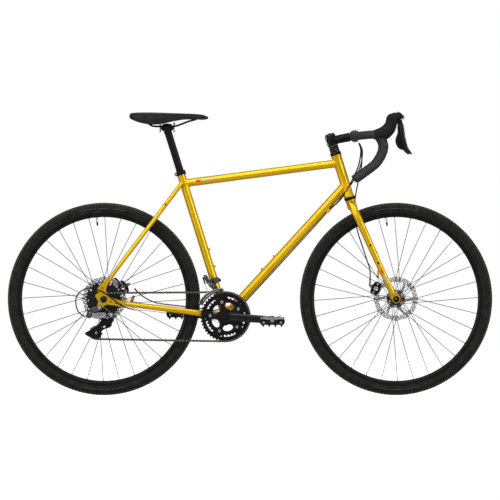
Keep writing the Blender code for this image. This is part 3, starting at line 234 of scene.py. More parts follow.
MATERIALS = make_materials()


# ---- shape tools ----------------------------------------------------------------------------
def square_to(axis):
    """Two directions square to axis and to each other."""
    side = Vector((0, 1, 0)) if abs(axis.y) < 0.9 else Vector((1, 0, 0))
    first = (side - axis * side.dot(axis)).normalized()
    return first, axis.cross(first)


def curve_through(points, steps, closed=False):
    """Points read from one Catmull-Rom curve through the given points."""
    points = [Vector(point) for point in points]
    if closed:
        knots = [points[-1], *points, points[0], points[1]]
    else:
        knots = [points[0] * 2 - points[1], *points, points[-1] * 2 - points[-2]]
    route = []
    for a, b, c, d in zip(knots, knots[1:], knots[2:], knots[3:]):
        for k in range(steps):
            t = k / steps
            route.append(0.5 * (2 * b + (c - a) * t + (2 * a - 5 * b + 4 * c - d) * t * t
                                + (3 * b - a - 3 * c + d) * t ** 3))
    return route if closed else route + [points[-1]]


def rounded(outline, rounds=2):
    """Cut an outline's corners until they are round."""
    for _ in range(rounds):
        cut = []
        for (ax, az), (bx, bz) in zip(outline, outline[1:] + outline[:1]):
            cut.append((ax * 0.75 + bx * 0.25, az * 0.75 + bz * 0.25))
            cut.append((ax * 0.25 + bx * 0.75, az * 0.25 + bz * 0.75))
        outline = cut
    return outline


def circle(x, z, radius, sides=20):
    return [(x + radius * math.cos(math.tau * k / sides), z + radius * math.sin(math.tau * k / sides))
            for k in range(sides)]


class Shape:
    """Collects closed shapes in one mesh and makes a finished piece of them."""

    def __init__(self):
        self.bm = bmesh.new()

    def ring(self, points):
        return [self.bm.verts.new(point) for point in points]

    def bridge(self, loop, other):
        for i in range(len(loop)):
            j = (i + 1) % len(loop)
            self.bm.faces.new((loop[i], loop[j], other[j], other[i]))

    def skin(self, loops, closed=False):
        """Join neighbouring loops, then close the run on itself or cap its ends."""
        for loop, other in zip(loops, loops[1:]):
            self.bridge(loop, other)
        if closed:
            self.bridge(loops[-1], loops[0])
        else:
            self.bm.faces.new(loops[0])
            self.bm.faces.new(loops[-1])
        return self

    def tube(self, path, radius, sides=24, closed=False, width=1.0, up=None):
        """Sweep along a path. radius is a number or a function of (share, turn);
        width stretches the section along its first direction, which starts towards up."""
        path = [Vector(point) for point in path]
        count = len(path)
        loops = []
        first = None
        for i, point in enumerate(path):
            ahead = path[(i + 1) % count] if closed or i < count - 1 else point
            behind = path[i - 1] if closed or i else point
            tangent = (ahead - behind).normalized()
            if first is None:
                first = square_to(tangent)[0] if up is None else Vector(up)
            first = (first - tangent * first.dot(tangent)).normalized()
            second = tangent.cross(first)
            share = i / (count if closed else count - 1)
            across = width(share) if callable(width) else width
            loop = []
            for k in range(sides):
                turn = math.tau * k / sides
                size = radius(share, turn) if callable(radius) else radius
                loop.append(point + (first * (math.cos(turn) * across)
                                     + second * math.sin(turn)) * size)
            loops.append(self.ring(loop))
        return self.skin(loops, closed)

    def rod(self, start, end, radius, end_radius=None, sides=20):
        end_radius = radius if end_radius is None else end_radius
        return self.tube([start, end], lambda s, t: radius + (end_radius - radius) * s, sides)

    def turned(self, profile, centre, axis=Y_AXIS, sides=48, hollow=True, start=0.0, span=math.tau):
        """Turn (radius, height) points about an axis, all the way round or over a span."""
        axis = Vector(axis).normalized()
        first, second = square_to(axis)
        if abs(axis.y) > 0.9:
            first, second = Vector((1, 0, 0)), Vector((0, 0, 1))
        whole = span >= math.tau - 1e-6
        loops = []
        for k in range(sides if whole else sides + 1):
            turn = start + span * k / sides
            out = first * math.cos(turn) + second * math.sin(turn)
            loops.append(self.ring([centre + axis * h + out * r for r, h in profile]))
        for loop, other in zip(loops, loops[1:] + (loops[:1] if whole else [])):
            for i in range(len(profile) - (0 if hollow else 1)):
                j = (i + 1) % len(profile)
                self.bm.faces.new((loop[i], loop[j], other[j], other[i]))
        if not whole:
            self.bm.faces.new(loops[0])
            self.bm.faces.new(loops[-1])
        elif not hollow:
            self.bm.faces.new([loop[0] for loop in loops])
            self.bm.faces.new([loop[-1] for loop in loops])
        return self

    def plate(self, outline, low, high, place=None):
        """Prism between two heights; place turns (x, z, y) into a point."""
        place = place or (lambda x, z, y: Vector((x, y, z)))
        lower = self.ring([place(x, z, low) for x, z in outline])
        upper = self.ring([place(x, z, high) for x, z in outline])
        return self.skin([lower, upper])

    def box(self, centre, size, spin=None):
        corners = bmesh.ops.create_cube(self.bm, size=1.0)["verts"]
        bmesh.ops.scale(self.bm, vec=size, verts=corners)
        if spin is not None:
            bmesh.ops.rotate(self.bm, matrix=spin, verts=corners)
        bmesh.ops.translate(self.bm, vec=centre, verts=corners)
        return self

    def add_mesh(self, mesh):
        self.bm.from_mesh(mesh)
        return self

    def cut(self, *plate):
        """Add a plate; the values are those of cut_plate."""
        return self.add_mesh(cut_plate(*plate))

    def piece(self, name, material):
        """Smooth-shaded object with one material, not yet on any body."""
        bmesh.ops.recalc_face_normals(self.bm, faces=self.bm.faces)
        mesh = bpy.data.meshes.new(name)
        self.bm.to_mesh(mesh)
        self.bm.free()
        piece = bpy.data.objects.new(name, mesh)
        bpy.context.scene.collection.objects.link(piece)
        mesh.materials.append(MATERIALS[material])
        mesh.shade_smooth()
        return piece

    def done(self, name, material, body, slot, nodes=(), bevel=0.0, sharp=35):
        """Turn the mesh into a piece that rides on a body."""
        piece = self.piece(name, material)
        piece.data.set_sharp_from_angle(angle=math.radians(sharp))
        if bevel:
            step = piece.modifiers.new("bevel", "BEVEL")
            step.width = bevel
            step.segments = 2
            step.limit_method = "ANGLE"
            step.angle_limit = math.radians(sharp)
        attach(piece, body)
        if nodes:
            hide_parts(*nodes)
        return piece


def cut_plate(outlines, low, high, bevel=0.0002):
    """Flat plate with holes, as a mesh: the first outline is the edge and the others are holes."""
    curve = bpy.data.curves.new("plate", "CURVE")
    curve.dimensions = "2D"
    curve.fill_mode = "BOTH"
    curve.extrude = (high - low) / 2 - bevel
    curve.bevel_depth = bevel
    curve.bevel_resolution = 0
    for outline in outlines:
        spline = curve.splines.new("POLY")
        spline.points.add(len(outline) - 1)
        spline.use_cyclic_u = True
        for knot, (x, z) in zip(spline.points, outline):
            knot.co = (x, z, 0, 1)
    holder = bpy.data.objects.new("plate", curve)
    bpy.context.scene.collection.objects.link(holder)
    bpy.context.view_layer.update()
    evaluated = holder.evaluated_get(bpy.context.evaluated_depsgraph_get())
    mesh = bpy.data.meshes.new_from_object(evaluated)
    mesh.materials.clear()
    bpy.data.objects.remove(holder, do_unlink=True)
    turn = Matrix(((1, 0, 0, 0), (0, 0, 1, (low + high) / 2), (0, 1, 0, 0), (0, 0, 0, 1)))
    mesh.transform(turn)
    bm = bmesh.new()
    bm.from_mesh(mesh)
    bmesh.ops.remove_doubles(bm, verts=bm.verts, dist=1e-6)
    bm.to_mesh(mesh)
    bm.free()
    return mesh


def tooth_outline(centre, teeth, phase, tip=0.0022, root=0.0036):
    """Sprocket edge: round gaps at the pins and narrow tips between them."""
    radius = pitch_radius(teeth)
    step = math.tau / teeth
    marks = ((0.0, -root), (0.16, -root * 0.85), (0.30, -root * 0.05), (0.42, tip * 0.9),
             (0.50, tip), (0.58, tip * 0.9), (0.70, -root * 0.05), (0.84, -root * 0.85))
    points = []
    for k in range(teeth):
        for share, lift in marks:
            turn = phase + step * (k + share)
            points.append(around(centre, radius + lift, turn))
    return points


# ---- frame ----------------------------------------------------------------------------------
def weld_bead(shape, start, along, radius, other, other_along, other_radius, flip=1):
    """Rippled bead where a tube's wall meets another tube."""
    first, second = square_to(along)
    points = []
    for k in range(120):
        turn = math.tau * k / 120
        foot = start + (first * math.cos(turn) + second * math.sin(turn)) * radius
        gap = foot - other
        a = 1 - along.dot(other_along) ** 2
        b = 2 * (gap.dot(along) - gap.dot(other_along) * along.dot(other_along))
        c = gap.length_squared - gap.dot(other_along) ** 2 - other_radius ** 2
        root = math.sqrt(max(b * b - 4 * a * c, 0))
        points.append(foot + along * ((-b + flip * root) / (2 * a)))
    shape.tube(points, lambda s, t: 0.0024 + 0.00025 * math.sin(s * math.tau * 44), 10, closed=True)


def bottle_boss(shape, tube_point, side, radius):
    top = tube_point + side * (radius + 0.0022)
    shape.rod(tube_point + side * (radius - 0.001), top, 0.0050, 0.0046, 20)
    return top


def make_frame():
    down_up = Vector((-DOWN_ALONG.z, 0, DOWN_ALONG.x))
    seat_front = Vector((SEAT_AXIS.z, 0, -SEAT_AXIS.x))
    top_along = (TOP_TUBE[1] - TOP_TUBE[0]).normalized()

    Shape().rod(*TOP_TUBE, TOP_RADIUS, sides=48).done(
        "top_tube_skin", "paint", "frame", "frame_paint", ["top_tube"])
    down = Shape().rod(CRANK + DOWN_ALONG * 0.012, DOWN_TUBE[1], DOWN_RADIUS, sides=48)
    bolts = Shape()
    for step in (0.2165, 0.2805):
        top = bottle_boss(down, CRANK + DOWN_ALONG * step, down_up, DOWN_RADIUS)
        bolts.rod(top, top + down_up * 0.0028, 0.0042, 0.0036, 16)
    down.done("down_tube_skin", "paint", "frame", "frame_paint", ["down_tube"])
    seat = Shape().tube([CRANK + SEAT_AXIS * 0.010, SEAT_TUBE_TOP], SEAT_RADIUS, 48)
    for step in (0.1860, 0.2500):
        top = bottle_boss(seat, CRANK + SEAT_AXIS * step, seat_front, SEAT_RADIUS)
        bolts.rod(top, top + seat_front * 0.0028, 0.0042, 0.0036, 16)
    seat.done("seat_tube_skin", "paint", "frame", "frame_paint", ["seat_tube"])
    bolts.done("bottle_bolts", "gloss", "frame", "black_alloy", bevel=0.0004)

    head = Shape().turned(
        [(HEAD_RADIUS + 0.0012, 0.0002), (HEAD_RADIUS + 0.0012, 0.0060), (HEAD_RADIUS, 0.0090),
         (HEAD_RADIUS, HEAD_LENGTH - 0.009), (HEAD_RADIUS + 0.0012, HEAD_LENGTH - 0.006),
         (HEAD_RADIUS + 0.0012, HEAD_LENGTH - 0.0002), (0.0150, HEAD_LENGTH - 0.0002),
         (0.0150, 0.0002)], HEAD_BASE, HEAD_AXIS, 64)
    head.done("head_tube_skin", "paint", "frame", "frame_paint", ["head_tube"])
    cups = Shape()
    for base, sign in ((0.0, -1), (HEAD_LENGTH, 1)):
        cups.turned([(0.0193, base), (0.0204, base + sign * 0.0016), (0.0204, base + sign * 0.0060),
                     (0.0196, base + sign * 0.0072), (0.0199, base + sign * 0.0080),
                     (0.0190, base + sign * 0.0113), (0.0151, base + sign * 0.0113),
                     (0.0151, base)], HEAD_BASE, HEAD_AXIS, 64)
    cups.done("headset_cups", "black", "frame", "black_alloy")

    half = 0.034
    shell = Shape().turned([(SHELL_RADIUS, -half), (SHELL_RADIUS, half), (0.0180, half),
                            (0.0180, -half)], CRANK, Y_AXIS, 64)
    shell.done("shell_skin", "paint", "frame", "frame_paint", ["bottom_bracket_shell"], 0.0006)
    cup = Shape()
    for side in (-1, 1):
        cup.turned([(0.0186, side * half), (0.0208, side * (half + 0.0006)),
                    (0.0208, side * (half + 0.0020)), (0.0195, side * (half + 0.0034)),
                    (0.0130, side * (half + 0.0036)), (0.0130, side * half)], CRANK, Y_AXIS, 48)
    cup.done("bottom_bracket_cups", "black", "frame", "black_alloy")

    welds = Shape()
    weld_bead(welds, TOP_TUBE[0], top_along, TOP_RADIUS, SEAT_TUBE_TOP, SEAT_AXIS, SEAT_RADIUS)
    weld_bead(welds, TOP_TUBE[0], top_along, TOP_RADIUS, HEAD_BASE, HEAD_AXIS, HEAD_RADIUS, -1)
    weld_bead(welds, CRANK, DOWN_ALONG, DOWN_RADIUS, HEAD_BASE, HEAD_AXIS, HEAD_RADIUS, -1)
    weld_bead(welds, CRANK, DOWN_ALONG, DOWN_RADIUS, CRANK, Y_AXIS, SHELL_RADIUS)
    weld_bead(welds, CRANK, SEAT_AXIS, SEAT_RADIUS, CRANK, Y_AXIS, SHELL_RADIUS)
    welds.done("frame_welds", "paint", "frame", "frame_paint")

    behind = SEAT_TUBE_TOP - SEAT_AXIS * 0.0070 - seat_front * 0.0200
    clamp = Shape().turned([(0.0152, -0.0150), (0.0180, -0.0150), (0.0186, -0.0140),
                            (0.0186, -0.0005), (0.0180, 0.0006), (0.0152, 0.0006)],
                           SEAT_TUBE_TOP, SEAT_AXIS, 64)
    clamp.box(behind + seat_front * 0.002, (0.0080, 0.0160, 0.0120),
              Matrix.Rotation(math.radians(-17), 3, "Y"))
    clamp.done("seat_clamp_ring", "black", "frame", "black_alloy", ["seat_clamp"], 0.0005)
    Shape().rod(behind - Y_AXIS * 0.0112, behind + Y_AXIS * 0.0112, 0.0030).rod(
        behind - Y_AXIS * 0.0118, behind - Y_AXIS * 0.0076, 0.0045).done(
        "seat_clamp_bolt", "silver", "frame", "steel", bevel=0.0004)


def chain_stay_route(side):
    return curve_through([
        (-0.0960, side * 0.0225, 0.2860), (-0.1300, side * 0.0252, 0.2905),
        (-0.1650, side * 0.0295, 0.2955), (-0.2050, side * 0.0352, 0.3010),
        (-0.2600, side * 0.0430, 0.3080), (-0.3300, side * 0.0530, 0.3165),
        (-0.4000, side * 0.0630, 0.3250), (-0.4480, side * 0.0695, 0.3310)], 6)


def dropout_outline(side):
    tail = [(-0.5420, 0.3400)]
    if side < 0:
        tail = [(-0.5460, 0.3400), (-0.5560, 0.3190), (-0.5510, 0.3095), (-0.5400, 0.3080),
                (-0.5330, 0.3180)]
    return [(-0.4400, 0.3400), (-0.4400, 0.3220), (-0.4700, 0.3235), (-0.5000, 0.3285),
            (-0.5240, 0.3310)] + tail[::-1] + [
            (-0.5500, 0.3480), (-0.5600, 0.3600), (-0.5560, 0.3690), (-0.5440, 0.3700),
            (-0.5560, 0.3830), (-0.5400, 0.4000), (-0.5270, 0.4160), (-0.5150, 0.4280),
            (-0.5020, 0.4200), (-0.5150, 0.4030), (-0.5215, 0.3860), (-0.5190, 0.3710),
            (-0.5060, 0.3580), (-0.4870, 0.3490), (-0.4700, 0.3440)]


def make_stays():
    for side, word in ((-1, "right"), (1, "left")):
        stay = Shape().tube(chain_stay_route(side), lambda s, t: 0.0108 - 0.0030 * s ** 2, 32,
                            width=lambda s: 0.62 + 0.25 * s, up=(0, 1, 0))
        faces = sorted(side * y for y in REAR_DROPOUT)
        holes = [circle(REAR_AXLE.x, REAR_AXLE.z, 0.0053, 24), circle(-0.4510, 0.3310, 0.0030)]
        if side < 0:
            holes.append(circle(HANGER.x, HANGER.z, 0.0050))
        stay.cut([rounded(dropout_outline(side)), *holes], *faces, 0.0006)
        stay.done(f"{word}_chain_stay_skin", "paint", "frame", "frame_paint",
                  [f"{word}_chain_stay"])
        route = curve_through([
            (-0.2450, side * 0.0165, 0.7710), (-0.2900, side * 0.0230, 0.7116),
            (-0.3500, side * 0.0370, 0.6324), (-0.4200, side * 0.0545, 0.5400),
            (-0.4700, side * 0.0665, 0.4740), (-0.5080, side * 0.0702, 0.4200)], 6)
        seat_stay = Shape().tube(route, lambda s, t: 0.0080 - 0.0018 * s ** 3, 28)
        foot = route[8]
        out = Vector((-0.80, 0.15 * side, -0.60)).normalized()
        seat_stay.rod(foot, foot - out * 0.0100, 0.0040, 0.0036, 16)
        seat_stay.done(f"{word}_seat_stay_skin", "paint", "frame", "frame_paint",
                       [f"{word}_seat_stay"])
    bridges = Shape()
    bridges.rod((-0.3045, -0.0245, 0.6930), (-0.3045, 0.0245, 0.6930), 0.0055)
    bridges.rod((-0.1480, -0.0240, 0.2930), (-0.1480, 0.0240, 0.2930), 0.0060)
    bridges.tube([(-0.4310, 0.0640, 0.3290), (-0.4290, 0.0640, 0.3420),
                  (-0.4240, 0.0640, 0.3540)], 0.0058, 16)
    bridges.done("stay_bridges", "paint", "frame", "frame_paint")
    make_stay_bolts()


def make_stay_bolts():
    """Black bolts in the dropouts, on the seat stays and on the brake's post."""
    bolts = Shape()
    for side in (-1, 1):
        for x, z in ((-0.5040, 0.3400), (-0.4840, 0.3350), (-0.4660, 0.3300), (-0.5330, 0.3900),
                     (-0.5360, 0.3780)):
            bolts.turned([(0.0008, 0.0724), (0.0008, 0.0743), (0.0026, 0.0747), (0.0033, 0.0740),
                          (0.0033, 0.0724)], Vector((x, 0, z)), Y_AXIS * side, 20)
        bolts.rod((-0.3060, side * 0.0300, 0.6920), (-0.3060, side * 0.0385, 0.6920), 0.0036)
    bolts.rod((-0.4240, 0.0640, 0.3535), (-0.4215, 0.0640, 0.3600), 0.0042)
    bolts.done("stay_bolts", "gloss", "frame", "steel", bevel=0.0003)
    bracket = [(-0.4960, 0.4230), (-0.4860, 0.4250), (-0.4700, 0.4060), (-0.4620, 0.3980),
               (-0.4680, 0.3900), (-0.4800, 0.3980), (-0.4980, 0.4080)]
    Shape().cut([rounded(bracket, 1), circle(-0.4870, 0.4130, 0.0024)], 0.0655,
                0.0705, 0.0008).done(
        "rear_brake_bracket", "black", "frame", "black_alloy")


def tube_patch(shape, start, along, radius, from_share, to_share, facing, half_turn, height=0.0003):
    """Thin square-cornered patch wrapped on a tube and facing one way."""
    first = (facing - along * facing.dot(along)).normalized()
    second = along.cross(first)
    steps = 10
    rows = []
    for distance in (from_share, to_share):
        for lift in (-0.0002, height):
            turns = [half_turn * (2 * k / steps - 1) for k in range(steps + 1)]
            rows.append([start + along * distance
                         + (first * math.cos(t) + second * math.sin(t)) * (radius + lift)
                         for t in turns])
    shape.skin([shape.ring(rows[0] + rows[1][::-1]), shape.ring(rows[2] + rows[3][::-1])])


def make_stickers():
    right = Vector((0, -1, 0.12))
    top_along = (TOP_TUBE[1] - TOP_TUBE[0]).normalized()
    red, grey, faint = Shape(), Shape(), Shape()
    for facing in (right, Vector((0, 1, 0.12))):
        tube_patch(red, TOP_TUBE[0], top_along, TOP_RADIUS, 0.0380, 0.0560, facing, 0.30)
        tube_patch(grey, TOP_TUBE[0], top_along, TOP_RADIUS, 0.0600, 0.1180, facing, 0.16)
        for k in range(7):
            low = 0.3350 + 0.0190 * k
            tube_patch(faint, CRANK, DOWN_ALONG, DOWN_RADIUS, low, low + 0.0120,
                       Vector((0, facing.y, 0)), 0.42 - 0.05 * (k % 3))
    red.done("top_tube_red_mark", "red", "frame", "frame_paint")
    grey.done("frame_grey_marks", "sticker", "frame", "frame_paint")
    faint.done("down_tube_marks", "faint", "frame", "frame_paint")


# ---- fork -----------------------------------------------------------------------------------
def make_fork():
    fork = Shape().turned(
        [(0.0194, -CUP - 0.0004), (0.0194, -0.0150), (0.0182, -0.0190), (0.0180, -0.0400),
         (0.0165, -0.0450), (0.0005, -0.0470), (0.0005, -CUP - 0.0004)], HEAD_BASE, HEAD_AXIS, 64)
    fork.rod(head_point(-0.020), head_point(0.190), 0.0143, sides=32)
    bosses = Shape()
    for side in (-1, 1):
        route = curve_through([
            (0.3640, side * 0.0100, 0.6960), (0.3700, side * 0.0250, 0.6860),
            (0.3780, side * 0.0370, 0.6700), (0.3880, side * 0.0430, 0.6500),
            (0.4050, side * 0.0465, 0.6120), (0.4277, side * 0.0495, 0.5620),
            (0.4520, side * 0.0520, 0.5080), (0.4775, side * 0.0535, 0.4520),
            (0.5035, side * 0.0540, 0.3980), (0.5170, side * 0.0535, 0.3690)], 6)
        fork.tube(route, lambda s, t: 0.0152 - 0.0062 * s ** 1.4, 36,
                  width=lambda s: 0.90 - 0.16 * s, up=(0, 1, 0))
        outline = [(0.5040, 0.3740), (0.5080, 0.3560), (0.5190, 0.3370), (0.5310, 0.3330),
                   (0.5430, 0.3400), (0.5450, 0.3560), (0.5360, 0.3680), (0.5220, 0.3780),
                   (0.5120, 0.3850)]
        holes = [circle(FRONT_AXLE.x, FRONT_AXLE.z, 0.0053, 24), circle(0.5140, 0.3610, 0.0026)]
        faces = sorted((side * 0.050, side * 0.056))
        fork.cut([rounded(outline), *holes], *faces, 0.0006)
        for share in (32, 39):
            foot = route[share]
            bosses.rod(foot + Y_AXIS * side * 0.0088, foot + Y_AXIS * side * 0.0118, 0.0044, 0.0040)
    fork.rod((0.4690, 0.0540, 0.4700), (0.4635, 0.0545, 0.4240), 0.0046)
    fork.rod((0.4960, 0.0540, 0.4120), (0.4870, 0.0545, 0.3930), 0.0040)
    fork.done("fork_skin", "paint", "steering", "frame_paint", ["fork"])
    bosses.done("fork_bosses", "gloss", "steering", "frame_paint", bevel=0.0005)
    marks = {"red": Shape(), "sticker": Shape()}
    for side in (-1, 1):
        start, end = Vector((0.4765, side * 0.0535, 0.4541)), Vector((0.5035, side * 0.0540, 0.3980))
        along = (end - start).normalized()
        tube_patch(marks["red"], start, along, 0.0098, 0.000, 0.012, Y_AXIS * side, 0.45, 0.0002)
        tube_patch(marks["sticker"], start, along, 0.0094, 0.016, 0.052, Y_AXIS * side, 0.30, 0.0002)
    for word, shape in marks.items():
        shape.done(f"fork_{word}_mark", word, "steering", "frame_paint")


def make_axle(name, centre, half, body, node, wide):
    """Through axle with a hex socket in each end."""
    axle = Shape().turned(
        [(0.0030, -half - 0.0088), (wide - 0.0030, -half - 0.0088), (wide - 0.0010, -half - 0.0076),
         (wide, -half - 0.0040), (wide, -half - 0.0003), (0.0050, -half - 0.0003),
         (0.0050, half + 0.0003), (0.0088, half + 0.0003), (0.0088, half + 0.0060),
         (0.0074, half + 0.0084), (0.0030, half + 0.0084)], centre, Y_AXIS, 48)
    axle.done(name, "black", body, "steel", [node], 0.0003)
    rims = Shape()
    for side in (-1, 1):
        rims.turned([(wide, side * (half + 0.0006)), (wide + 0.0010, side * (half + 0.0006)),
                     (wide + 0.0010, side * (half + 0.0018)), (wide, side * (half + 0.0018))],
                    centre, Y_AXIS, 40)
        rims.turned([(0.0026, side * (half + 0.0060)), (0.0031, side * (half + 0.0060)),
                     (0.0031, side * (half + 0.0080)), (0.0026, side * (half + 0.0080))],
                    centre, Y_AXIS, 6)
    rims.done(f"{name}_washers", "black", body, "steel")


# ---- wheels ---------------------------------------------------------------------------------
CASING_CENTRE, CASING = 0.3300, 0.0177
SPOKES, CROSSING, SPOKE_RADIUS = 32, math.radians(67.5), 0.00115


def wall_point(angle, lift=0.0):
    """(radius, height) on the casing, measured from the tread's crown."""
    reach = CASING + lift
    return CASING_CENTRE + reach * math.cos(angle), reach * math.sin(angle)


def add_knob(shape, centre, turn, angle, size, height, skew=0.0):
    """One tread block, narrower at the top."""
    length, width = size
    corners = []
    for lift, share in ((-0.0004, 1.0), (height, 0.80)):
        for u, v in ((-1, -1), (1, -1), (1, 1), (-1, 1)):
            radius, side = wall_point(angle + v * share * width / 2 / CASING, lift)
            out = direction(turn + (u * share * length / 2 + v * skew) / TYRE_RADIUS)
            corners.append(shape.bm.verts.new(centre + out * radius + Y_AXIS * side))
    shape.bridge(corners[:4], corners[4:])
    shape.bm.faces.new(corners[4:])
    shape.bm.faces.new(corners[:4])


def make_tyre(word, centre, body):
    outer = [wall_point(math.radians(a)) for a in range(-120, 121, 8)]
    inner = [(r, s) for r, s in ((0.3130, 0.0118), (0.3260, 0.0158), (0.3400, 0.0130),
                                 (0.3455, 0.0060), (0.3455, -0.0060), (0.3400, -0.0130),
                                 (0.3260, -0.0158), (0.3130, -0.0118))]
    casing = Shape().turned([(0.3130, -0.0146)] + outer + [(0.3130, 0.0146)] + inner,
                            centre, Y_AXIS, 180)
    for side in (-1, 1):
        for angle in (58, 76, 112):
            radius, height = wall_point(math.radians(angle), 0.0001)
            rib = [centre + direction(math.tau * k / 180) * radius + Y_AXIS * side * height
                   for k in range(180)]
            casing.tube(rib, 0.00035, 6, closed=True)
    casing.done(f"{word}_tyre_casing", "tyre", body, "tyre_rubber", [f"{word}_tyre"])
    tread = Shape()
    count = 168
    for k in range(count):
        turn = math.tau * k / count
        half_step = math.pi / count
        add_knob(tread, centre, turn, 0.0, (0.0072, 0.0042), 0.0013)
        for side in (-1, 1):
            add_knob(tread, centre, turn + half_step, side * 0.30, (0.0060, 0.0040), 0.0013,
                     side * 0.0012)
            add_knob(tread, centre, turn, side * 0.58, (0.0064, 0.0040), 0.0013, side * 0.0014)
            add_knob(tread, centre, turn + half_step, side * 0.86, (0.0050, 0.0034), 0.0012)
    tread.done(f"{word}_tyre_tread", "tread", body, "tyre_rubber")
    marks = Shape()
    for side in (-1, 1):
        for start, sweep in ((76, 9), (86.5, 7), (95, 10), (256, 9), (266.5, 7), (275, 10)):
            path = []
            for k in range(31):
                turn = math.radians(start + sweep * k / 30)
                radius, height = wall_point(math.radians(96), 0.0001)
                path.append(centre + direction(turn) * radius + Y_AXIS * side * height)
            marks.tube(path, 0.0006, 6)
    marks.done(f"{word}_tyre_marks", "print", body, "tyre_rubber")


def make_rim(word, centre, body, base, valve_turn):
    rim = Shape().turned(
        [(0.3045, -0.0113), (0.3060, -0.0118), (0.3165, -0.0118), (0.3176, -0.0112),
         (0.3172, -0.0104), (0.3080, -0.0092), (0.3065, -0.0080), (0.3065, 0.0080),
         (0.3080, 0.0092), (0.3172, 0.0104), (0.3176, 0.0112), (0.3165, 0.0118),
         (0.3060, 0.0118), (0.3045, 0.0113), (0.2990, 0.0092), (0.2972, 0.0070),
         (0.2965, 0.0040), (0.2965, -0.0040), (0.2972, -0.0070), (0.2990, -0.0092)],
        centre, Y_AXIS, 180)
    rim.done(f"{word}_rim_skin", "black", body, "black_alloy", [f"{word}_rim"])
    # Thin grey ring at each rim edge, all the way round: a painted highlight for the glossy line where
    # the rim catches the light.
    edge = Shape()
    for side in (-1, 1):
        ring = [centre + direction(math.tau * k / 120) * 0.3160 + Y_AXIS * side * 0.0119
                for k in range(120)]
        edge.tube(ring, 0.0007, 6, closed=True)
    edge.done(f"{word}_rim_highlight_line", "grey", body, "black_alloy")
    nipples = Shape()
    for k in range(SPOKES):
        out = direction(base + math.tau * k / SPOKES)
        lean = Y_AXIS * (0.0022 if k % 2 else -0.0022)
        nipples.rod(centre + out * 0.2860 + lean * 1.6, centre + out * 0.2975 + lean, 0.0016,
                    0.0021, 10)
        nipples.rod(centre + out * 0.2960 + lean, centre + out * 0.2978 + lean, 0.0034, sides=12)
    out = direction(valve_turn)
    nipples.rod(centre + out * 0.2740, centre + out * 0.2975, 0.0029, sides=16)
    nipples.rod(centre + out * 0.2935, centre + out * 0.2962, 0.0054, sides=16)
    nipples.done(f"{word}_nipples", "silver", body, "silver_alloy")
    Shape().rod(centre + out * 0.2690, centre + out * 0.2790, 0.0030, 0.0037, 14).rod(
        centre + out * 0.2660, centre + out * 0.2692, 0.0019, 0.0030, 14).done(
        f"{word}_valve_cap", "plastic", body, "black_plastic", bevel=0.0004)


def make_spokes(word, centre, body, base, flanges, flange_radius):
    """Spokes that each cross three others of their own flange."""
    spokes = Shape()
    for k in range(SPOKES):
        side = k % 2
        sense = 1 if (k // 2) % 2 else -1
        rim_turn = base + math.tau * k / SPOKES
        hub_turn = rim_turn + sense * CROSSING
        y = flanges[side] + sense * (0.0021 if side else -0.0021)
        hub_end = centre + direction(hub_turn) * flange_radius + Y_AXIS * y
        rim_end = centre + direction(rim_turn) * 0.2950 + Y_AXIS * (0.0026 if side else -0.0026)
        spokes.rod(hub_end, rim_end, SPOKE_RADIUS, sides=8)
        other = centre + direction(hub_turn) * flange_radius + Y_AXIS * (2 * flanges[side] - y)
        spokes.rod(hub_end, other, 0.0010, sides=8)
        spokes.rod(other, other + (other - hub_end) * 0.25, 0.0019, sides=10)
    spokes.done(f"{word}_spoke_set", "spoke", body, "steel", [f"{word}_spokes"])


def make_hub(word, centre, body, profile, windows):
    hub = Shape().turned(profile, centre, Y_AXIS, 72)
    hub.done(f"{word}_hub_skin", "black", body, "black_alloy", [f"{word}_hub"], 0.0004)
    ring = Shape()
    for y, radius in windows:
        ring.turned([(radius - 0.0006, y - 0.0009), (radius + 0.0002, y - 0.0009),
                     (radius + 0.0002, y + 0.0009), (radius - 0.0006, y + 0.0009)],
                    centre, Y_AXIS, 72)
    ring.done(f"{word}_hub_bands", "silver", body, "silver_alloy")


def make_rotor(word, centre, body, y):
    """Steel disc with thin slanted arms on a black six-armed carrier."""
    outer = [around(centre, 0.0788 + 0.0012 * math.cos(math.tau * k / 24), math.tau * k / 288)
             for k in range(288)]
    holes = [circle(centre.x, centre.z, 0.0262, 40)]
    for k in range(6):
        start = math.tau * k / 6
        window = []
        for radius, low, high in ((0.0625, 0.08, 0.98), (0.0335, 0.66, -0.06)):
            window += [around(centre, radius, start + low + (high - low) * i / 10)
                       for i in range(11)]
        holes.append(window)
    for k in range(32):
        turn = math.tau * k / 32
        for radius, shift in ((0.0676, 0.0), (0.0742, 0.09)):
            holes.append(circle(*around(centre, radius, turn + shift), 0.0023, 12))
    disc = Shape().cut([outer, *holes], y - 0.0009, y + 0.0009)
    disc.done(f"{word}_rotor_disc", "rotor", body, "steel", [f"{word}_rotor"])
    star = [around(centre, 0.0265 + 0.0075 * math.cos(6 * math.tau * k / 144 + 0.4),
                   math.tau * k / 144) for k in range(144)]
    carrier = Shape().cut([star, circle(centre.x, centre.z, 0.0162, 40)],
                          y - 0.0014, y + 0.0014, 0.0004)
    carrier.turned([(0.0158, y + 0.0010), (0.0205, y + 0.0010), (0.0205, y + 0.0026),
                    (0.0190, y + 0.0040), (0.0158, y + 0.0040)], centre, Y_AXIS, 24)
    carrier.done(f"{word}_rotor_carrier", "black", body, "black_alloy", bevel=0.0003)


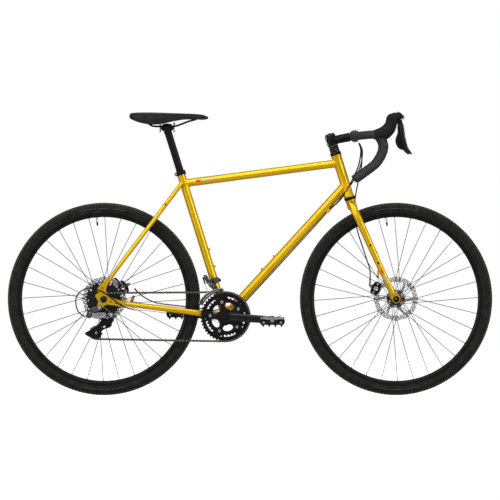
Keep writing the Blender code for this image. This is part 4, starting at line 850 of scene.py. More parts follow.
FRONT_HUB = [
    (0.0053, -0.0495), (0.0100, -0.0495), (0.0112, -0.0480), (0.0130, -0.0335),
    (0.0200, -0.0318), (0.0215, -0.0312), (0.0215, -0.0294), (0.0200, -0.0288),
    (0.0120, -0.0220), (0.0105, -0.0100), (0.0105, 0.0020), (0.0120, 0.0140),
    (0.0200, 0.0208), (0.0215, 0.0214), (0.0215, 0.0232), (0.0200, 0.0238),
    (0.0190, 0.0270), (0.0190, 0.0383), (0.0155, 0.0383), (0.0155, 0.0440),
    (0.0105, 0.0450), (0.0100, 0.0495), (0.0053, 0.0495)]
REAR_HUB = [
    (0.0053, -0.0205), (0.0220, -0.0205), (0.0235, -0.0198), (0.0235, -0.0176),
    (0.0220, -0.0168), (0.0140, -0.0100), (0.0125, 0.0000), (0.0125, 0.0160),
    (0.0140, 0.0260), (0.0220, 0.0328), (0.0235, 0.0335), (0.0235, 0.0354),
    (0.0220, 0.0360), (0.0190, 0.0390), (0.0190, 0.0508), (0.0155, 0.0508),
    (0.0155, 0.0565), (0.0105, 0.0575), (0.0100, 0.0670), (0.0053, 0.0670)]


def make_wheel(word, axle, turns, flanges, flange_radius, hub, bands, rotor_y):
    """One wheel; turns are those of its first spoke and of its valve, in degrees."""
    body = f"{word}_wheel"
    first_spoke, valve = (math.radians(turn) for turn in turns)
    make_tyre(word, axle, body)
    make_rim(word, axle, body, first_spoke, valve)
    make_spokes(word, axle, body, first_spoke, flanges, flange_radius)
    make_hub(word, axle, body, hub, bands)
    make_rotor(word, axle, body, rotor_y)


def make_wheels():
    make_wheel("front", FRONT_AXLE, (91.0, 97), (-0.0303, 0.0223), 0.0190, FRONT_HUB,
               ((-0.0460, 0.0115), (0.0330, 0.0190)), FRONT_ROTOR_Y)
    make_axle("front_through_axle", FRONT_AXLE, 0.056, "steering", "front_axle", 0.0108)
    make_wheel("rear", REAR_AXLE, (89.4, 95), (-0.0186, 0.0344), 0.0210, REAR_HUB,
               ((0.0460, 0.0190), (0.0630, 0.0101)), REAR_ROTOR_Y)
    make_axle("rear_through_axle", REAR_AXLE, REAR_DROPOUT[1], "frame", "rear_axle", 0.0112)


# ---- chain and sprockets --------------------------------------------------------------------
def heading(first, second):
    """Direction of the line that leaves one chain circle and meets the next."""
    (c1, r1, s1, _), (c2, r2, s2, _) = first, second
    across = Vector((c2.x - c1.x, c2.z - c1.z))
    return math.atan2(across.y, across.x) + math.asin((s1 * r1 - s2 * r2) / across.length)


def pin_places():
    """Pin centres round the closed chain: ring, smallest cog, guide pulley, tension pulley."""
    small = pitch_radius(PULLEY_TEETH)
    circles = [(CRANK, pitch_radius(RING_TEETH), 1, RING_Y), (REAR_AXLE, small, 1, COG_Y),
               (GUIDE, small, -1, COG_Y), (TENSION, small, 1, COG_Y)]
    turns = [heading(circles[i], circles[(i + 1) % 4]) for i in range(4)]
    line = []
    for i, (centre, radius, sense, y) in enumerate(circles):
        arrive = turns[i - 1] - sense * math.pi / 2
        span = ((turns[i] - turns[i - 1]) * sense % math.tau) * sense
        for k in range(61):
            out = direction(arrive + span * k / 60)
            line.append(Vector((centre.x, y, centre.z)) + out * radius)
    line.append(line[0])
    lengths = [(b - a).length for a, b in zip(line, line[1:])]
    count = 2 * round(sum(lengths) / CHAIN_PITCH / 2)
    step = sum(lengths) / count
    pins, walked, i = [], 0.0, 0
    for k in range(count):
        while walked + lengths[i] < k * step:
            walked += lengths[i]
            i += 1
        share = (k * step - walked) / lengths[i]
        pins.append(line[i].lerp(line[i + 1], share))
    return pins


PINS = pin_places()


def pin_phase(centre, radius):
    """Turn of a pin that lies on a sprocket's pitch circle."""
    flat = [(pin.x - centre.x, pin.z - centre.z) for pin in PINS]
    x, z = min(flat, key=lambda p: abs(math.hypot(*p) - radius))
    return math.atan2(z, x)


def make_chain():
    chain, pins = Shape(), Shape()
    for i, pin in enumerate(PINS):
        following = PINS[(i + 1) % len(PINS)]
        along = (following - pin).normalized()
        normal = Vector((along.z, 0, -along.x)).normalized()
        length = (following - pin).length
        outline = []
        for base, start in ((length, -90), (0.0, 90)):
            for k in range(7):
                turn = math.radians(start + 30 * k)
                outline.append((base + 0.0041 * math.cos(turn), 0.0041 * math.sin(turn)))
            outline.append((length / 2, 0.0029 if base else -0.0029))
        low, high = (0.0022, 0.0030) if i % 2 else (0.0013, 0.0021)
        for side in (-1, 1):
            chain.plate(outline, side * low, side * high,
                        lambda u, v, w: pin + along * u + normal * v + Y_AXIS * w)
        chain.rod(pin - Y_AXIS * 0.0012, pin + Y_AXIS * 0.0012, 0.0037, sides=12)
        pins.rod(pin - Y_AXIS * 0.0033, pin + Y_AXIS * 0.0033, 0.0017, sides=10)
    chain.done("chain_links", "chain", "frame", "chain_steel", ["chain"])
    pins.done("chain_pins", "steel", "frame", "chain_steel")


def make_cassette():
    cogs = Shape()
    phase = pin_phase(REAR_AXLE, pitch_radius(COGS[0]))
    for i, teeth in enumerate(COGS):
        y = COG_Y + i * COG_SPACING
        outline = tooth_outline(REAR_AXLE, teeth, phase + 0.12 * i, 0.0014 if i else 0.0020)
        holes = [circle(REAR_AXLE.x, REAR_AXLE.z, 0.0150, 32)]
        if teeth > 17:
            ring = pitch_radius(teeth) - 0.0105
            count = 6 if teeth < 24 else 9
            for k in range(count):
                spot = around(REAR_AXLE, ring, math.tau * (k + 0.2 * i) / count)
                holes.append(circle(*spot, 0.0028 + 0.00012 * (teeth - 17), 16))
        cogs.cut([outline, *holes], y - 0.0008, y + 0.0008, 0.00015)
    cogs.done("cog_stack", "cog", "cassette", "steel", ["cassette"])
    core = Shape().turned([(0.0053, COG_Y - 0.0028), (0.0120, COG_Y - 0.0028), (0.0145, -0.0620),
                           (0.0145, COG_Y), (0.0163, COG_Y), (0.0163, -0.0245),
                           (0.0190, -0.0235), (0.0190, -0.0209), (0.0053, -0.0209)],
                          REAR_AXLE, Y_AXIS, 48)
    core.done("cassette_body", "black", "cassette", "steel")


BOLT_TURNS = [math.radians(31.5 + 72 * k) for k in range(5)]
BOLT_CIRCLE, HALF_STEP = 0.055, math.radians(36)


def from_nearest_bolt(turn):
    """Turn measured from the nearest of the five chainring bolts."""
    return (turn - BOLT_TURNS[0] + HALF_STEP) % (2 * HALF_STEP) - HALF_STEP


def arc_slot(turn, low, high, half_turn):
    """Curved slot between two radii about the crank axis."""
    turns = [turn + half_turn * (2 * k / 12 - 1) for k in range(13)]
    edge = [(low, t) for t in turns] + [(high, t) for t in reversed(turns)]
    return [around(CRANK, r, t) for r, t in edge]


def make_chainring(name, node, teeth, y, low, high, slots):
    outline = tooth_outline(CRANK, teeth, pin_phase(CRANK, pitch_radius(RING_TEETH)), 0.0020)
    inner = []
    for k in range(240):
        turn = math.tau * k / 240
        nearest = from_nearest_bolt(turn)
        radius = high - (high - low) * math.exp(-(nearest / 0.16) ** 2)
        inner.append(around(CRANK, radius, turn))
    holes = [inner]
    for turn in BOLT_TURNS:
        holes.append(circle(*around(CRANK, BOLT_CIRCLE, turn), 0.0042, 16))
        if slots:
            holes.append(rounded(arc_slot(turn + HALF_STEP, 0.0640, 0.0725, 0.31)))
            holes.append(circle(*around(CRANK, 0.0720, turn + math.radians(10)), 0.0022, 14))
    ring = Shape().cut([outline, *holes], y - 0.0011, y + 0.0011)
    ring.done(name, "black", "crankset", "black_alloy", [node])


def make_spider():
    """Five arms in one smooth plate, with an oval window between each pair but the crank's."""
    edge, windows = [], []
    for k in range(200):
        turn = math.tau * k / 200
        nearest = from_nearest_bolt(turn)
        radius = 0.0565 + 0.0060 * math.exp(-(nearest / 0.13) ** 2)
        edge.append(around(CRANK, radius, turn))
    for turn in BOLT_TURNS[:4]:
        out, along = direction(turn + math.radians(36)), direction(turn + math.radians(126))
        loop = []
        for k in range(28):
            t = math.tau * k / 28
            spot = out * (0.0408 + 0.0128 * math.cos(t)) + along * (0.0198 * math.sin(t))
            loop.append((CRANK.x + spot.x, CRANK.z + spot.z))
        windows.append(loop)
    return cut_plate([edge, *windows], -0.0545, -0.0488, 0.0014)


def squarish(turn):
    """Rounded-rectangle factor for a swept section."""
    return (abs(math.cos(turn)) ** 3 + abs(math.sin(turn)) ** 3) ** (-1 / 3)


def make_crank_arm(flip, angle):
    side = -flip
    along = direction(angle) * flip

    def place(distance, y):
        return CRANK + along * distance + Y_AXIS * (side * y)

    route = curve_through([place(-0.012, 0.0585), place(0.0, 0.0590), place(0.030, 0.0610),
                           place(0.100, 0.0680), place(0.150, 0.0730), place(0.170, 0.0733)], 5)
    arm = Shape().tube(route, lambda s, t: (0.0196 - 0.0062 * s ** 0.8) * squarish(t) * 0.92, 32,
                       width=0.40, up=(0, 1, 0))
    arm.turned([(0.0140, 0.0662), (0.0148, 0.0672), (0.0148, 0.0790), (0.0138, 0.0800),
                (0.0078, 0.0800), (0.0078, 0.0662)],
               CRANK + along * 0.170, Y_AXIS * side, 48)
    inner = 0.0480 if side < 0 else 0.0548
    arm.turned([(0.0195, inner), (0.0205, inner + 0.001), (0.0205, 0.0650), (0.0190, 0.0668),
                (0.0125, 0.0668), (0.0125, inner)], CRANK, Y_AXIS * side, 64)
    return arm


def make_crankset():
    angle = math.atan2(PEDALS["right"].z - CRANK.z, PEDALS["right"].x - CRANK.x)
    right = make_crank_arm(1, angle)
    right.rod(CRANK - Y_AXIS * 0.0660, CRANK + Y_AXIS * 0.0545, 0.0120, sides=32)
    bolts = Shape()
    right.add_mesh(make_spider())
    for turn in BOLT_TURNS:
        pad = CRANK + direction(turn) * BOLT_CIRCLE
        right.rod(pad - Y_AXIS * 0.0535, pad - Y_AXIS * 0.0485, 0.0078, sides=24)
        bolts.turned([(0.0020, 0.0534), (0.0022, 0.0548), (0.0048, 0.0552), (0.0054, 0.0545),
                      (0.0054, 0.0530), (0.0020, 0.0530)], pad, -Y_AXIS, 24)
        bolts.rod(pad - Y_AXIS * 0.0460, pad - Y_AXIS * 0.0355, 0.0041, sides=20)
    right.done("right_crank_skin", "gloss", "crankset", "black_alloy", ["right_crank_arm"], 0.0004)
    bolts.done("chainring_bolts", "silver", "crankset", "silver_alloy")
    left = make_crank_arm(-1, angle)
    left.done("left_crank_skin", "gloss", "crankset", "black_alloy", ["left_crank_arm"], 0.0004)
    caps = Shape()
    for side in (-1, 1):
        caps.turned([(0.0035, 0.0655), (0.0050, 0.0668), (0.0108, 0.0672), (0.0120, 0.0662),
                     (0.0120, 0.0650), (0.0035, 0.0650)], CRANK, Y_AXIS * side, 48)
    caps.done("crank_caps", "black", "crankset", "black_alloy", bevel=0.0003)
    make_chainring("outer_ring_teeth", "outer_chainring", RING_TEETH, RING_Y, 0.0480, 0.0575,
                   True)
    make_chainring("inner_ring_teeth", "inner_chainring", INNER_RING_TEETH, INNER_RING_Y, 0.0480,
                   0.0590, False)


def make_pedal(word, flip):
    side = -flip
    centre = PEDALS[word].copy()
    centre.y = 0
    body = f"{word}_pedal"

    def at(x, y, z):
        return centre + Vector((x, side * y, z))

    cage = Shape()
    outline = [(0.0455, -0.0020), (0.0430, 0.0080), (0.0300, 0.0115), (0.0120, 0.0095),
               (0.0, 0.0120), (-0.0160, 0.0095), (-0.0330, 0.0125), (-0.0430, 0.0080),
               (-0.0455, -0.0040), (-0.0420, -0.0150)]
    for k in range(4):
        x = -0.0330 + 0.0220 * k
        outline += [(x - 0.0045, -0.0160), (x - 0.0008, -0.0235), (x + 0.0008, -0.0235),
                    (x + 0.0045, -0.0160)]
    outline.append((0.0420, -0.0140))
    for low, high in ((0.1000, 0.1030), (0.1570, 0.1600)):
        holes = [circle(centre.x, centre.z, 0.0080, 20), circle(centre.x - 0.026, centre.z, 0.0062),
                 circle(centre.x + 0.026, centre.z, 0.0062)]
        edges = sorted((side * low, side * high))
        cage.cut([[(centre.x + x, centre.z + z) for x, z in outline], *holes],
                 *edges, 0.0005)
    for x in (-0.0410, 0.0410):
        cage.tube([at(x, 0.1005, 0), at(x, 0.1595, 0)],
                  lambda s, t: 0.0085 * squarish(t), 24, width=0.42, up=(1, 0, 0))
        for k in range(8):
            for z in (-0.0098, 0.0098):
                cage.rod(at(x, 0.1060 + 0.0068 * k, z * 0.7), at(x, 0.1060 + 0.0068 * k, z * 1.25),
                         0.0022, 0.0012, 8)
    for y in (0.1140, 0.1460):
        cage.tube([at(-0.0400, y, 0), at(0.0400, y, 0)], lambda s, t: 0.0080 * squarish(t), 20,
                  width=0.30, up=(0, 1, 0))
    cage.done(f"{word}_pedal_cage", "plastic", body, "black_alloy", [f"{word}_pedal"])
    axle = Shape().rod(at(0, 0.0800, 0), at(0, 0.1020, 0), 0.0075, sides=32)
    axle.rod(at(0, 0.0800, 0), at(0, 0.0835, 0), 0.0095, sides=6)
    axle.rod(at(0, 0.1020, 0), at(0, 0.1590, 0), 0.0095, 0.0085, 32)
    axle.done(f"{word}_pedal_axle", "steel", body, "steel", bevel=0.0004)
    binding = Shape()
    band = [(-0.0435, 0.0045), (-0.0400, 0.0100), (-0.0270, 0.0125), (-0.0130, 0.0080),
            (0.0, 0.0125), (0.0150, 0.0080), (0.0290, 0.0125), (0.0420, 0.0090), (0.0435, 0.0030),
            (0.0300, 0.0060), (0.0150, 0.0020), (0.0, 0.0065), (-0.0130, 0.0020),
            (-0.0300, 0.0060)]
    band = [(centre.x + x, centre.z + z) for x, z in band]
    for low in (0.0985, 0.1602):
        edges = sorted((side * low, side * (low + 0.0012)))
        binding.cut([rounded(band, 1)], *edges, 0.0004)
    for x in (-0.0310, 0.0310):
        binding.rod(at(x, 0.0975, -0.0075), at(x, 0.1625, -0.0075), 0.0045)
    for flipped in (-1, 1):
        for x, z, length, height in ((-0.0220, 0.0105, 0.0160, 0.0080),
                                     (0.0210, 0.0105, 0.0130, 0.0075)):
            binding.box(at(x * flipped, 0.1300, z * flipped), (length, 0.0240, height),
                        Matrix.Rotation(0.35 * (1 if x < 0 else -1), 3, "Y"))
        hoop = [at(0.0150 * flipped, 0.1180, 0.0120 * flipped),
                at(0.0270 * flipped, 0.1200, 0.0150 * flipped),
                at(0.0310 * flipped, 0.1300, 0.0160 * flipped),
                at(0.0270 * flipped, 0.1400, 0.0150 * flipped),
                at(0.0150 * flipped, 0.1420, 0.0120 * flipped)]
        binding.tube(curve_through(hoop, 5), 0.0017, 12)
        coil = []
        for k in range(73):
            turn = math.tau * k / 12
            coil.append(at((-0.0200 + 0.0052 * math.cos(turn)) * flipped, 0.1190 + 0.0220 * k / 72,
                           (0.0020 + 0.0052 * math.sin(turn)) * flipped))
        binding.tube(coil, 0.0011, 8)
    binding.done(f"{word}_pedal_binding", "silver", body, "steel", bevel=0.0006)


# ---- derailleurs ----------------------------------------------------------------------------
def bolt_head(shape, centre, axis, radius, height):
    """Button head with a hexagonal socket."""
    shape.turned([(radius * 0.45, height * 0.35), (radius * 0.45, height), (radius * 0.75, height),
                  (radius, height * 0.55), (radius, 0.0), (radius * 0.45, 0.0)],
                 centre, axis, 24)
    shape.rod(centre, centre + axis * height * 0.4, radius * 0.5, sides=6)


CAGE_PLATE = [
    (-0.4990, 0.2830), (-0.4985, 0.2560), (-0.5060, 0.2470), (-0.5250, 0.2420), (-0.5390, 0.2330),
    (-0.5370, 0.2130), (-0.5480, 0.2060), (-0.5690, 0.2070), (-0.5930, 0.2190), (-0.5985, 0.2270),
    (-0.5800, 0.2365), (-0.5620, 0.2450), (-0.5480, 0.2600), (-0.5330, 0.2790), (-0.5180, 0.2860)]
CAGE_WINDOW = [(-0.5280, 0.2580), (-0.5400, 0.2490), (-0.5330, 0.2450), (-0.5180, 0.2500)]


def make_rear_derailleur():
    face, rear_y = -0.0738, LINK_REAR.y
    knuckle = Shape().turned([(0.0030, 0.0), (0.0092, 0.0), (0.0096, 0.0015), (0.0096, 0.0120),
                              (0.0085, 0.0150), (0.0030, 0.0150)],
                             Vector((HANGER.x, face, HANGER.z)), -Y_AXIS, 48)
    ear = [(-0.5370, 0.3105), (-0.5500, 0.3262), (-0.5760, 0.3150), (-0.5900, 0.3020),
           (-0.5900, 0.2840), (-0.5800, 0.2815), (-0.5722, 0.2840), (-0.5722, 0.3010),
           (-0.5540, 0.3060)]
    knuckle.cut([rounded(ear), circle(-0.5700, 0.3075, 0.0026)],
                rear_y - 0.0055, face - 0.0015, 0.0014)
    knuckle.done("b_knuckle_skin", "grey", "derailleur_b_knuckle", "silver_alloy",
                 ["derailleur_b_knuckle"])
    bolts = Shape()
    bolt_head(bolts, Vector((HANGER.x, face - 0.0150, HANGER.z)), -Y_AXIS, 0.0062, 0.0028)
    bolt_head(bolts, Vector((-0.5790, rear_y - 0.0056, 0.3000)), -Y_AXIS, 0.0030, 0.0016)
    bolts.rod((-0.5905, rear_y + 0.001, 0.2875), (-0.6010, rear_y - 0.001, 0.2902), 0.0040, 0.0034)
    bolts.done("b_knuckle_bolts", "silver", "derailleur_b_knuckle", "silver_alloy", bevel=0.0003)

    rear, front = LINK_REAR, LINK_FRONT
    link = Shape()
    outline = [(rear.x + 0.0037, 0.2835), (rear.x + 0.0037, 0.2990), (front.x - 0.0060, 0.3012),
               (front.x - 0.0037, 0.2950), (front.x - 0.0037, 0.2850), (front.x - 0.0080, 0.2815)]
    window = [(-0.5600, 0.2885), (-0.5600, 0.2945), (-0.5300, 0.2955), (-0.5300, 0.2880)]
    for low, high, holes in ((-0.0055, -0.0030, [rounded(window)]), (0.0030, 0.0055, [])):
        link.cut([rounded(outline, 1), *holes], rear.y + low, rear.y + high, 0.0005)
    for x in (rear.x + 0.0075, front.x - 0.0085):
        link.rod((x, rear.y - 0.0050, 0.2915), (x, rear.y + 0.0050, 0.2915), 0.0040)
    coil = [Vector((-0.5600 + 0.0320 * k / 96, rear.y + 0.0030 * math.cos(math.tau * k / 12),
                    0.2900 + 0.0030 * math.sin(math.tau * k / 12))) for k in range(97)]
    link.tube(coil, 0.0005, 6)
    link.done("derailleur_link_plates", "silver", "derailleur_link", "silver_alloy",
              ["derailleur_link"])

    pivot = CAGE_PIVOT
    drum = Shape().turned([(0.0030, 0.0), (0.0102, 0.0), (0.0108, 0.0015), (0.0108, 0.0180),
                           (0.0092, 0.0212), (0.0030, 0.0212)],
                          Vector((pivot.x, -0.0668, pivot.z)), -Y_AXIS, 48)
    nose = [(front.x + 0.0037, 0.3000), (front.x + 0.0037, 0.2822), (pivot.x + 0.0060, 0.2822),
            (pivot.x + 0.0092, 0.2990)]
    drum.cut([rounded(nose, 1)], front.y - 0.0050, -0.0690, 0.0012)
    drum.done("p_knuckle_skin", "grey", "derailleur_p_knuckle", "silver_alloy",
              ["derailleur_p_knuckle"])
    bolt = Shape()
    bolt_head(bolt, Vector((pivot.x, -0.0880, pivot.z)), -Y_AXIS, 0.0060, 0.0024)
    bolt_head(bolt, Vector((-0.5110, front.y - 0.0052, 0.2960)), -Y_AXIS, 0.0030, 0.0016)
    bolt.done("p_knuckle_bolts", "silver", "derailleur_p_knuckle", "silver_alloy")

    along = (TENSION - GUIDE).normalized()
    across = Vector((along.z, 0, -along.x))
    outline = []
    for centre, sense in ((GUIDE, -1), (TENSION, 1)):
        for k in range(11):
            turn = (k / 5 - 1) * math.pi / 2
            out = along * (sense * math.cos(turn)) + across * (sense * math.sin(turn))
            outline.append((centre.x + out.x * 0.0108, centre.z + out.z * 0.0108))
        spot = GUIDE.lerp(TENSION, 0.5) + across * (0.0078 * sense)
        outline.append((spot.x, spot.z))
    centre = GUIDE.lerp(TENSION, 0.5)
    slot = []
    for u, v in ((-0.013, -0.0035), (0.013, -0.0035), (0.013, 0.0035), (-0.013, 0.0035)):
        spot = centre + along * u + across * v
        slot.append((spot.x, spot.z))
    cage = Shape()
    cage.cut([outline, rounded(slot)], -0.0564, -0.0549, 0.0003)
    cage.cut([rounded(CAGE_PLATE, 1), rounded(CAGE_WINDOW, 1)], -0.0668, -0.0652,
             0.0003)
    cage.plate(circle(pivot.x, pivot.z, 0.0100, 32), -0.0663, -0.0649)
    cage.done("cage_plates", "black", "derailleur_cage", "black_alloy", ["derailleur_cage"])
    bolts = Shape()
    for spot in (GUIDE, TENSION):
        spot = Vector((spot.x, 0, spot.z))
        bolts.rod(spot - Y_AXIS * 0.0662, spot - Y_AXIS * 0.0550, 0.0030)
        bolt_head(bolts, spot - Y_AXIS * 0.0663, -Y_AXIS, 0.0040, 0.0016)
    bolts.done("cage_bolts", "silver", "derailleur_cage", "steel")
    for name, spot in (("guide_pulley", GUIDE), ("tension_pulley", TENSION)):
        phase = pin_phase(spot, pitch_radius(PULLEY_TEETH))
        holes = [circle(spot.x, spot.z, 0.0036, 20)]
        holes += [circle(spot.x + 0.0128 * math.cos(math.tau * k / 5),
                         spot.z + 0.0128 * math.sin(math.tau * k / 5), 0.0016, 10) for k in range(5)]
        teeth = tooth_outline(spot, PULLEY_TEETH, phase, 0.0016)
        wheel = Shape().cut([teeth, *holes], COG_Y - 0.0010, COG_Y + 0.0010)
        wheel.turned([(0.0034, -0.0028), (0.0080, -0.0028), (0.0086, -0.0010), (0.0086, 0.0010),
                      (0.0080, 0.0028), (0.0034, 0.0028)], Vector((spot.x, COG_Y, spot.z)))
        wheel.done(f"{name}_wheel", "plastic", name, "black_plastic", [name])


def make_front_derailleur():
    middle = CRANK + SEAT_AXIS * 0.1370
    clamp = Shape().turned([(0.0153, -0.0078), (0.0178, -0.0078), (0.0185, -0.0070),
                            (0.0185, 0.0070), (0.0178, 0.0078), (0.0153, 0.0078)],
                           middle, SEAT_AXIS, 64)
    block = [(middle.x - 0.014, middle.z - 0.012), (middle.x + 0.012, middle.z - 0.012),
             (middle.x + 0.014, middle.z + 0.006), (middle.x - 0.002, middle.z + 0.010),
             (middle.x - 0.014, middle.z + 0.004)]
    clamp.cut([rounded(block, 1)], -0.0275, -0.0178, 0.0010)
    clamp.rod(middle + Vector((0.0215, -0.005, 0.001)), middle + Vector((0.0215, 0.005, 0.001)),
              0.0042)
    clamp.box(middle + Vector((0.0195, 0, 0.001)), (0.0070, 0.0100, 0.0120))
    clamp.done("front_clamp_skin", "grey", "frame", "silver_alloy", ["front_derailleur_clamp"],
               0.0004)
    bolts = Shape()
    bolt_head(bolts, Vector((middle.x - 0.004, -0.0276, middle.z - 0.004)), -Y_AXIS, 0.0036, 0.0022)
    for step in (-0.003, 0.003):
        bolts.rod((middle.x + 0.007 + step, -0.0235, middle.z + 0.006),
                  (middle.x + 0.007 + step, -0.0235, middle.z + 0.0125), 0.0014)
    bolts.done("front_clamp_bolts", "black", "frame", "steel")

    tip = pitch_radius(RING_TEETH) + 0.0036
    turns = [math.radians(94 + 5 * k) for k in range(13)]
    heights = [0.0098 + 0.0060 * math.sin(math.pi * k / 12 * 0.62) for k in range(13)]
    lower = [around(CRANK, tip, t) for t in turns]
    upper = [around(CRANK, tip + h, t) for t, h in zip(turns, heights)]
    ridge = [around(CRANK, tip + 0.006, t) for t in turns[2:-2]]
    cage = Shape()
    for low, high in ((-0.0555, -0.0540), (-0.0400, -0.0385)):
        cage.cut([lower + upper[::-1]], low, high, 0.0003)
    tail, top = direction(math.radians(152)), direction(math.radians(110))
    cage.rod(CRANK + tail * (tip + 0.009) - Y_AXIS * 0.0560, CRANK + tail * (tip + 0.009)
             - Y_AXIS * 0.0380, 0.0030)
    crown = CRANK + top * (tip + 0.0105)
    cage.box(Vector((crown.x, -0.0470, crown.z + 0.0008)), (0.0220, 0.0162, 0.0044))
    arm = [(-0.1700, 0.4330), (-0.1620, 0.4375), (-0.1540, 0.4330), (-0.1450, 0.4130),
           (-0.1180, 0.3950), (-0.1150, 0.3840), (-0.1270, 0.3785), (-0.1520, 0.3990)]
    cage.cut([rounded(arm, 1), circle(-0.1480, 0.4045, 0.0024),
              circle(-0.1330, 0.3955, 0.0024)], -0.0400, -0.0345, 0.0008)
    cage.done("front_cage_plates", "grey", "front_derailleur", "silver_alloy",
              ["front_derailleur_cage"])
    # The thin silver lines along the outer cage plate's ridge and top edge are a painted highlight; the
    # bolt heads are real.
    highlights_and_bolts = Shape()
    for line in (ridge, upper):
        highlights_and_bolts.tube([Vector((x, -0.0556, z)) for x, z in line], 0.0010, 8)
    bolt_head(highlights_and_bolts, Vector((-0.1625, -0.0401, 0.4300)), -Y_AXIS, 0.0032, 0.0020)
    bolt_head(highlights_and_bolts, Vector((-0.1400, -0.0401, 0.4000)), -Y_AXIS, 0.0024, 0.0012)
    highlights_and_bolts.done("front_cage_bolts_and_highlights", "silver", "front_derailleur", "steel")


# ---- cockpit --------------------------------------------------------------------------------
BAR_CLAMP = Vector((0.3787, 0, 0.9395))
TAPE_WIDTH = 0.0190
RIGHT_BAR = [
    (0.3800, -0.2200, 0.7825), (0.4165, -0.2190, 0.8090), (0.4527, -0.2180, 0.8370),
    (0.4720, -0.2170, 0.8642), (0.4820, -0.2160, 0.8912), (0.4810, -0.2155, 0.9135),
    (0.4700, -0.2145, 0.9340), (0.4545, -0.2130, 0.9435), (0.4340, -0.2100, 0.9440),
    (0.4130, -0.2030, 0.9420), (0.3940, -0.1870, 0.9400), (0.3825, -0.1650, 0.9395),
    (0.3787, -0.1300, 0.9395), (0.3787, -0.0950, 0.9395)]


def bar_half(side):
    return [Vector((x, -side * y, z)) for x, y, z in RIGHT_BAR]


def make_bar():
    centre = Shape().turned([(0.0020, -0.0990), (0.0122, -0.0990), (0.0122, -0.0460),
                             (0.0150, -0.0300), (0.0150, 0.0300), (0.0122, 0.0460),
                             (0.0122, 0.0990), (0.0020, 0.0990)], BAR_CLAMP, Y_AXIS, 48)
    centre.done("bar_centre", "black", "steering", "black_alloy", ["handlebar"])
    for side, word in ((-1, "right"), (1, "left")):
        route = curve_through(bar_half(side), 26)
        lengths = [0.0]
        for a, b in zip(route, route[1:]):
            lengths.append(lengths[-1] + (b - a).length)

        def tape(share, turn):
            walked = lengths[round(share * (len(route) - 1))] + turn / math.tau * TAPE_WIDTH
            ridge = (walked % TAPE_WIDTH) / TAPE_WIDTH
            return 0.0143 + 0.0010 * min(1.0, ridge * 5) * (1.0 - 0.55 * ridge)

        wound = Shape().tube(route, tape, 40)
        wound.done(f"{word}_bar_tape", "tape", "steering", "bar_tape", sharp=60)
        end, along = route[0], (route[0] - route[1]).normalized()
        plug = Shape().turned([(0.0005, 0.0035), (0.0100, 0.0030), (0.0142, 0.0012),
                               (0.0146, -0.0006), (0.0100, -0.0010), (0.0005, -0.0010)],
                              end, along, 40)
        plug.done(f"{word}_bar_plug", "plastic", "steering", "black_plastic")
        finish = Shape().turned([(0.0120, -0.0060), (0.0150, -0.0060), (0.0150, 0.0060),
                                 (0.0120, 0.0060)], route[-1], Y_AXIS, 40)
        finish.done(f"{word}_tape_band", "gloss", "steering", "bar_tape", bevel=0.0004)


def make_bar_bulges():
    """The thick middle of the bar, taped up to the stem's clamp."""
    profile = [(0.0125, 0.0480), (0.0178, 0.0490), (0.0186, 0.0560), (0.0192, 0.1100),
               (0.0186, 0.1300), (0.0168, 0.1440), (0.0125, 0.1520)]
    for side, word in ((-1, "right"), (1, "left")):
        Shape().turned([(r, side * y) for r, y in profile],
                       BAR_CLAMP, Y_AXIS, 48).done(
            f"{word}_bar_bulge", "tape", "steering", "bar_tape")


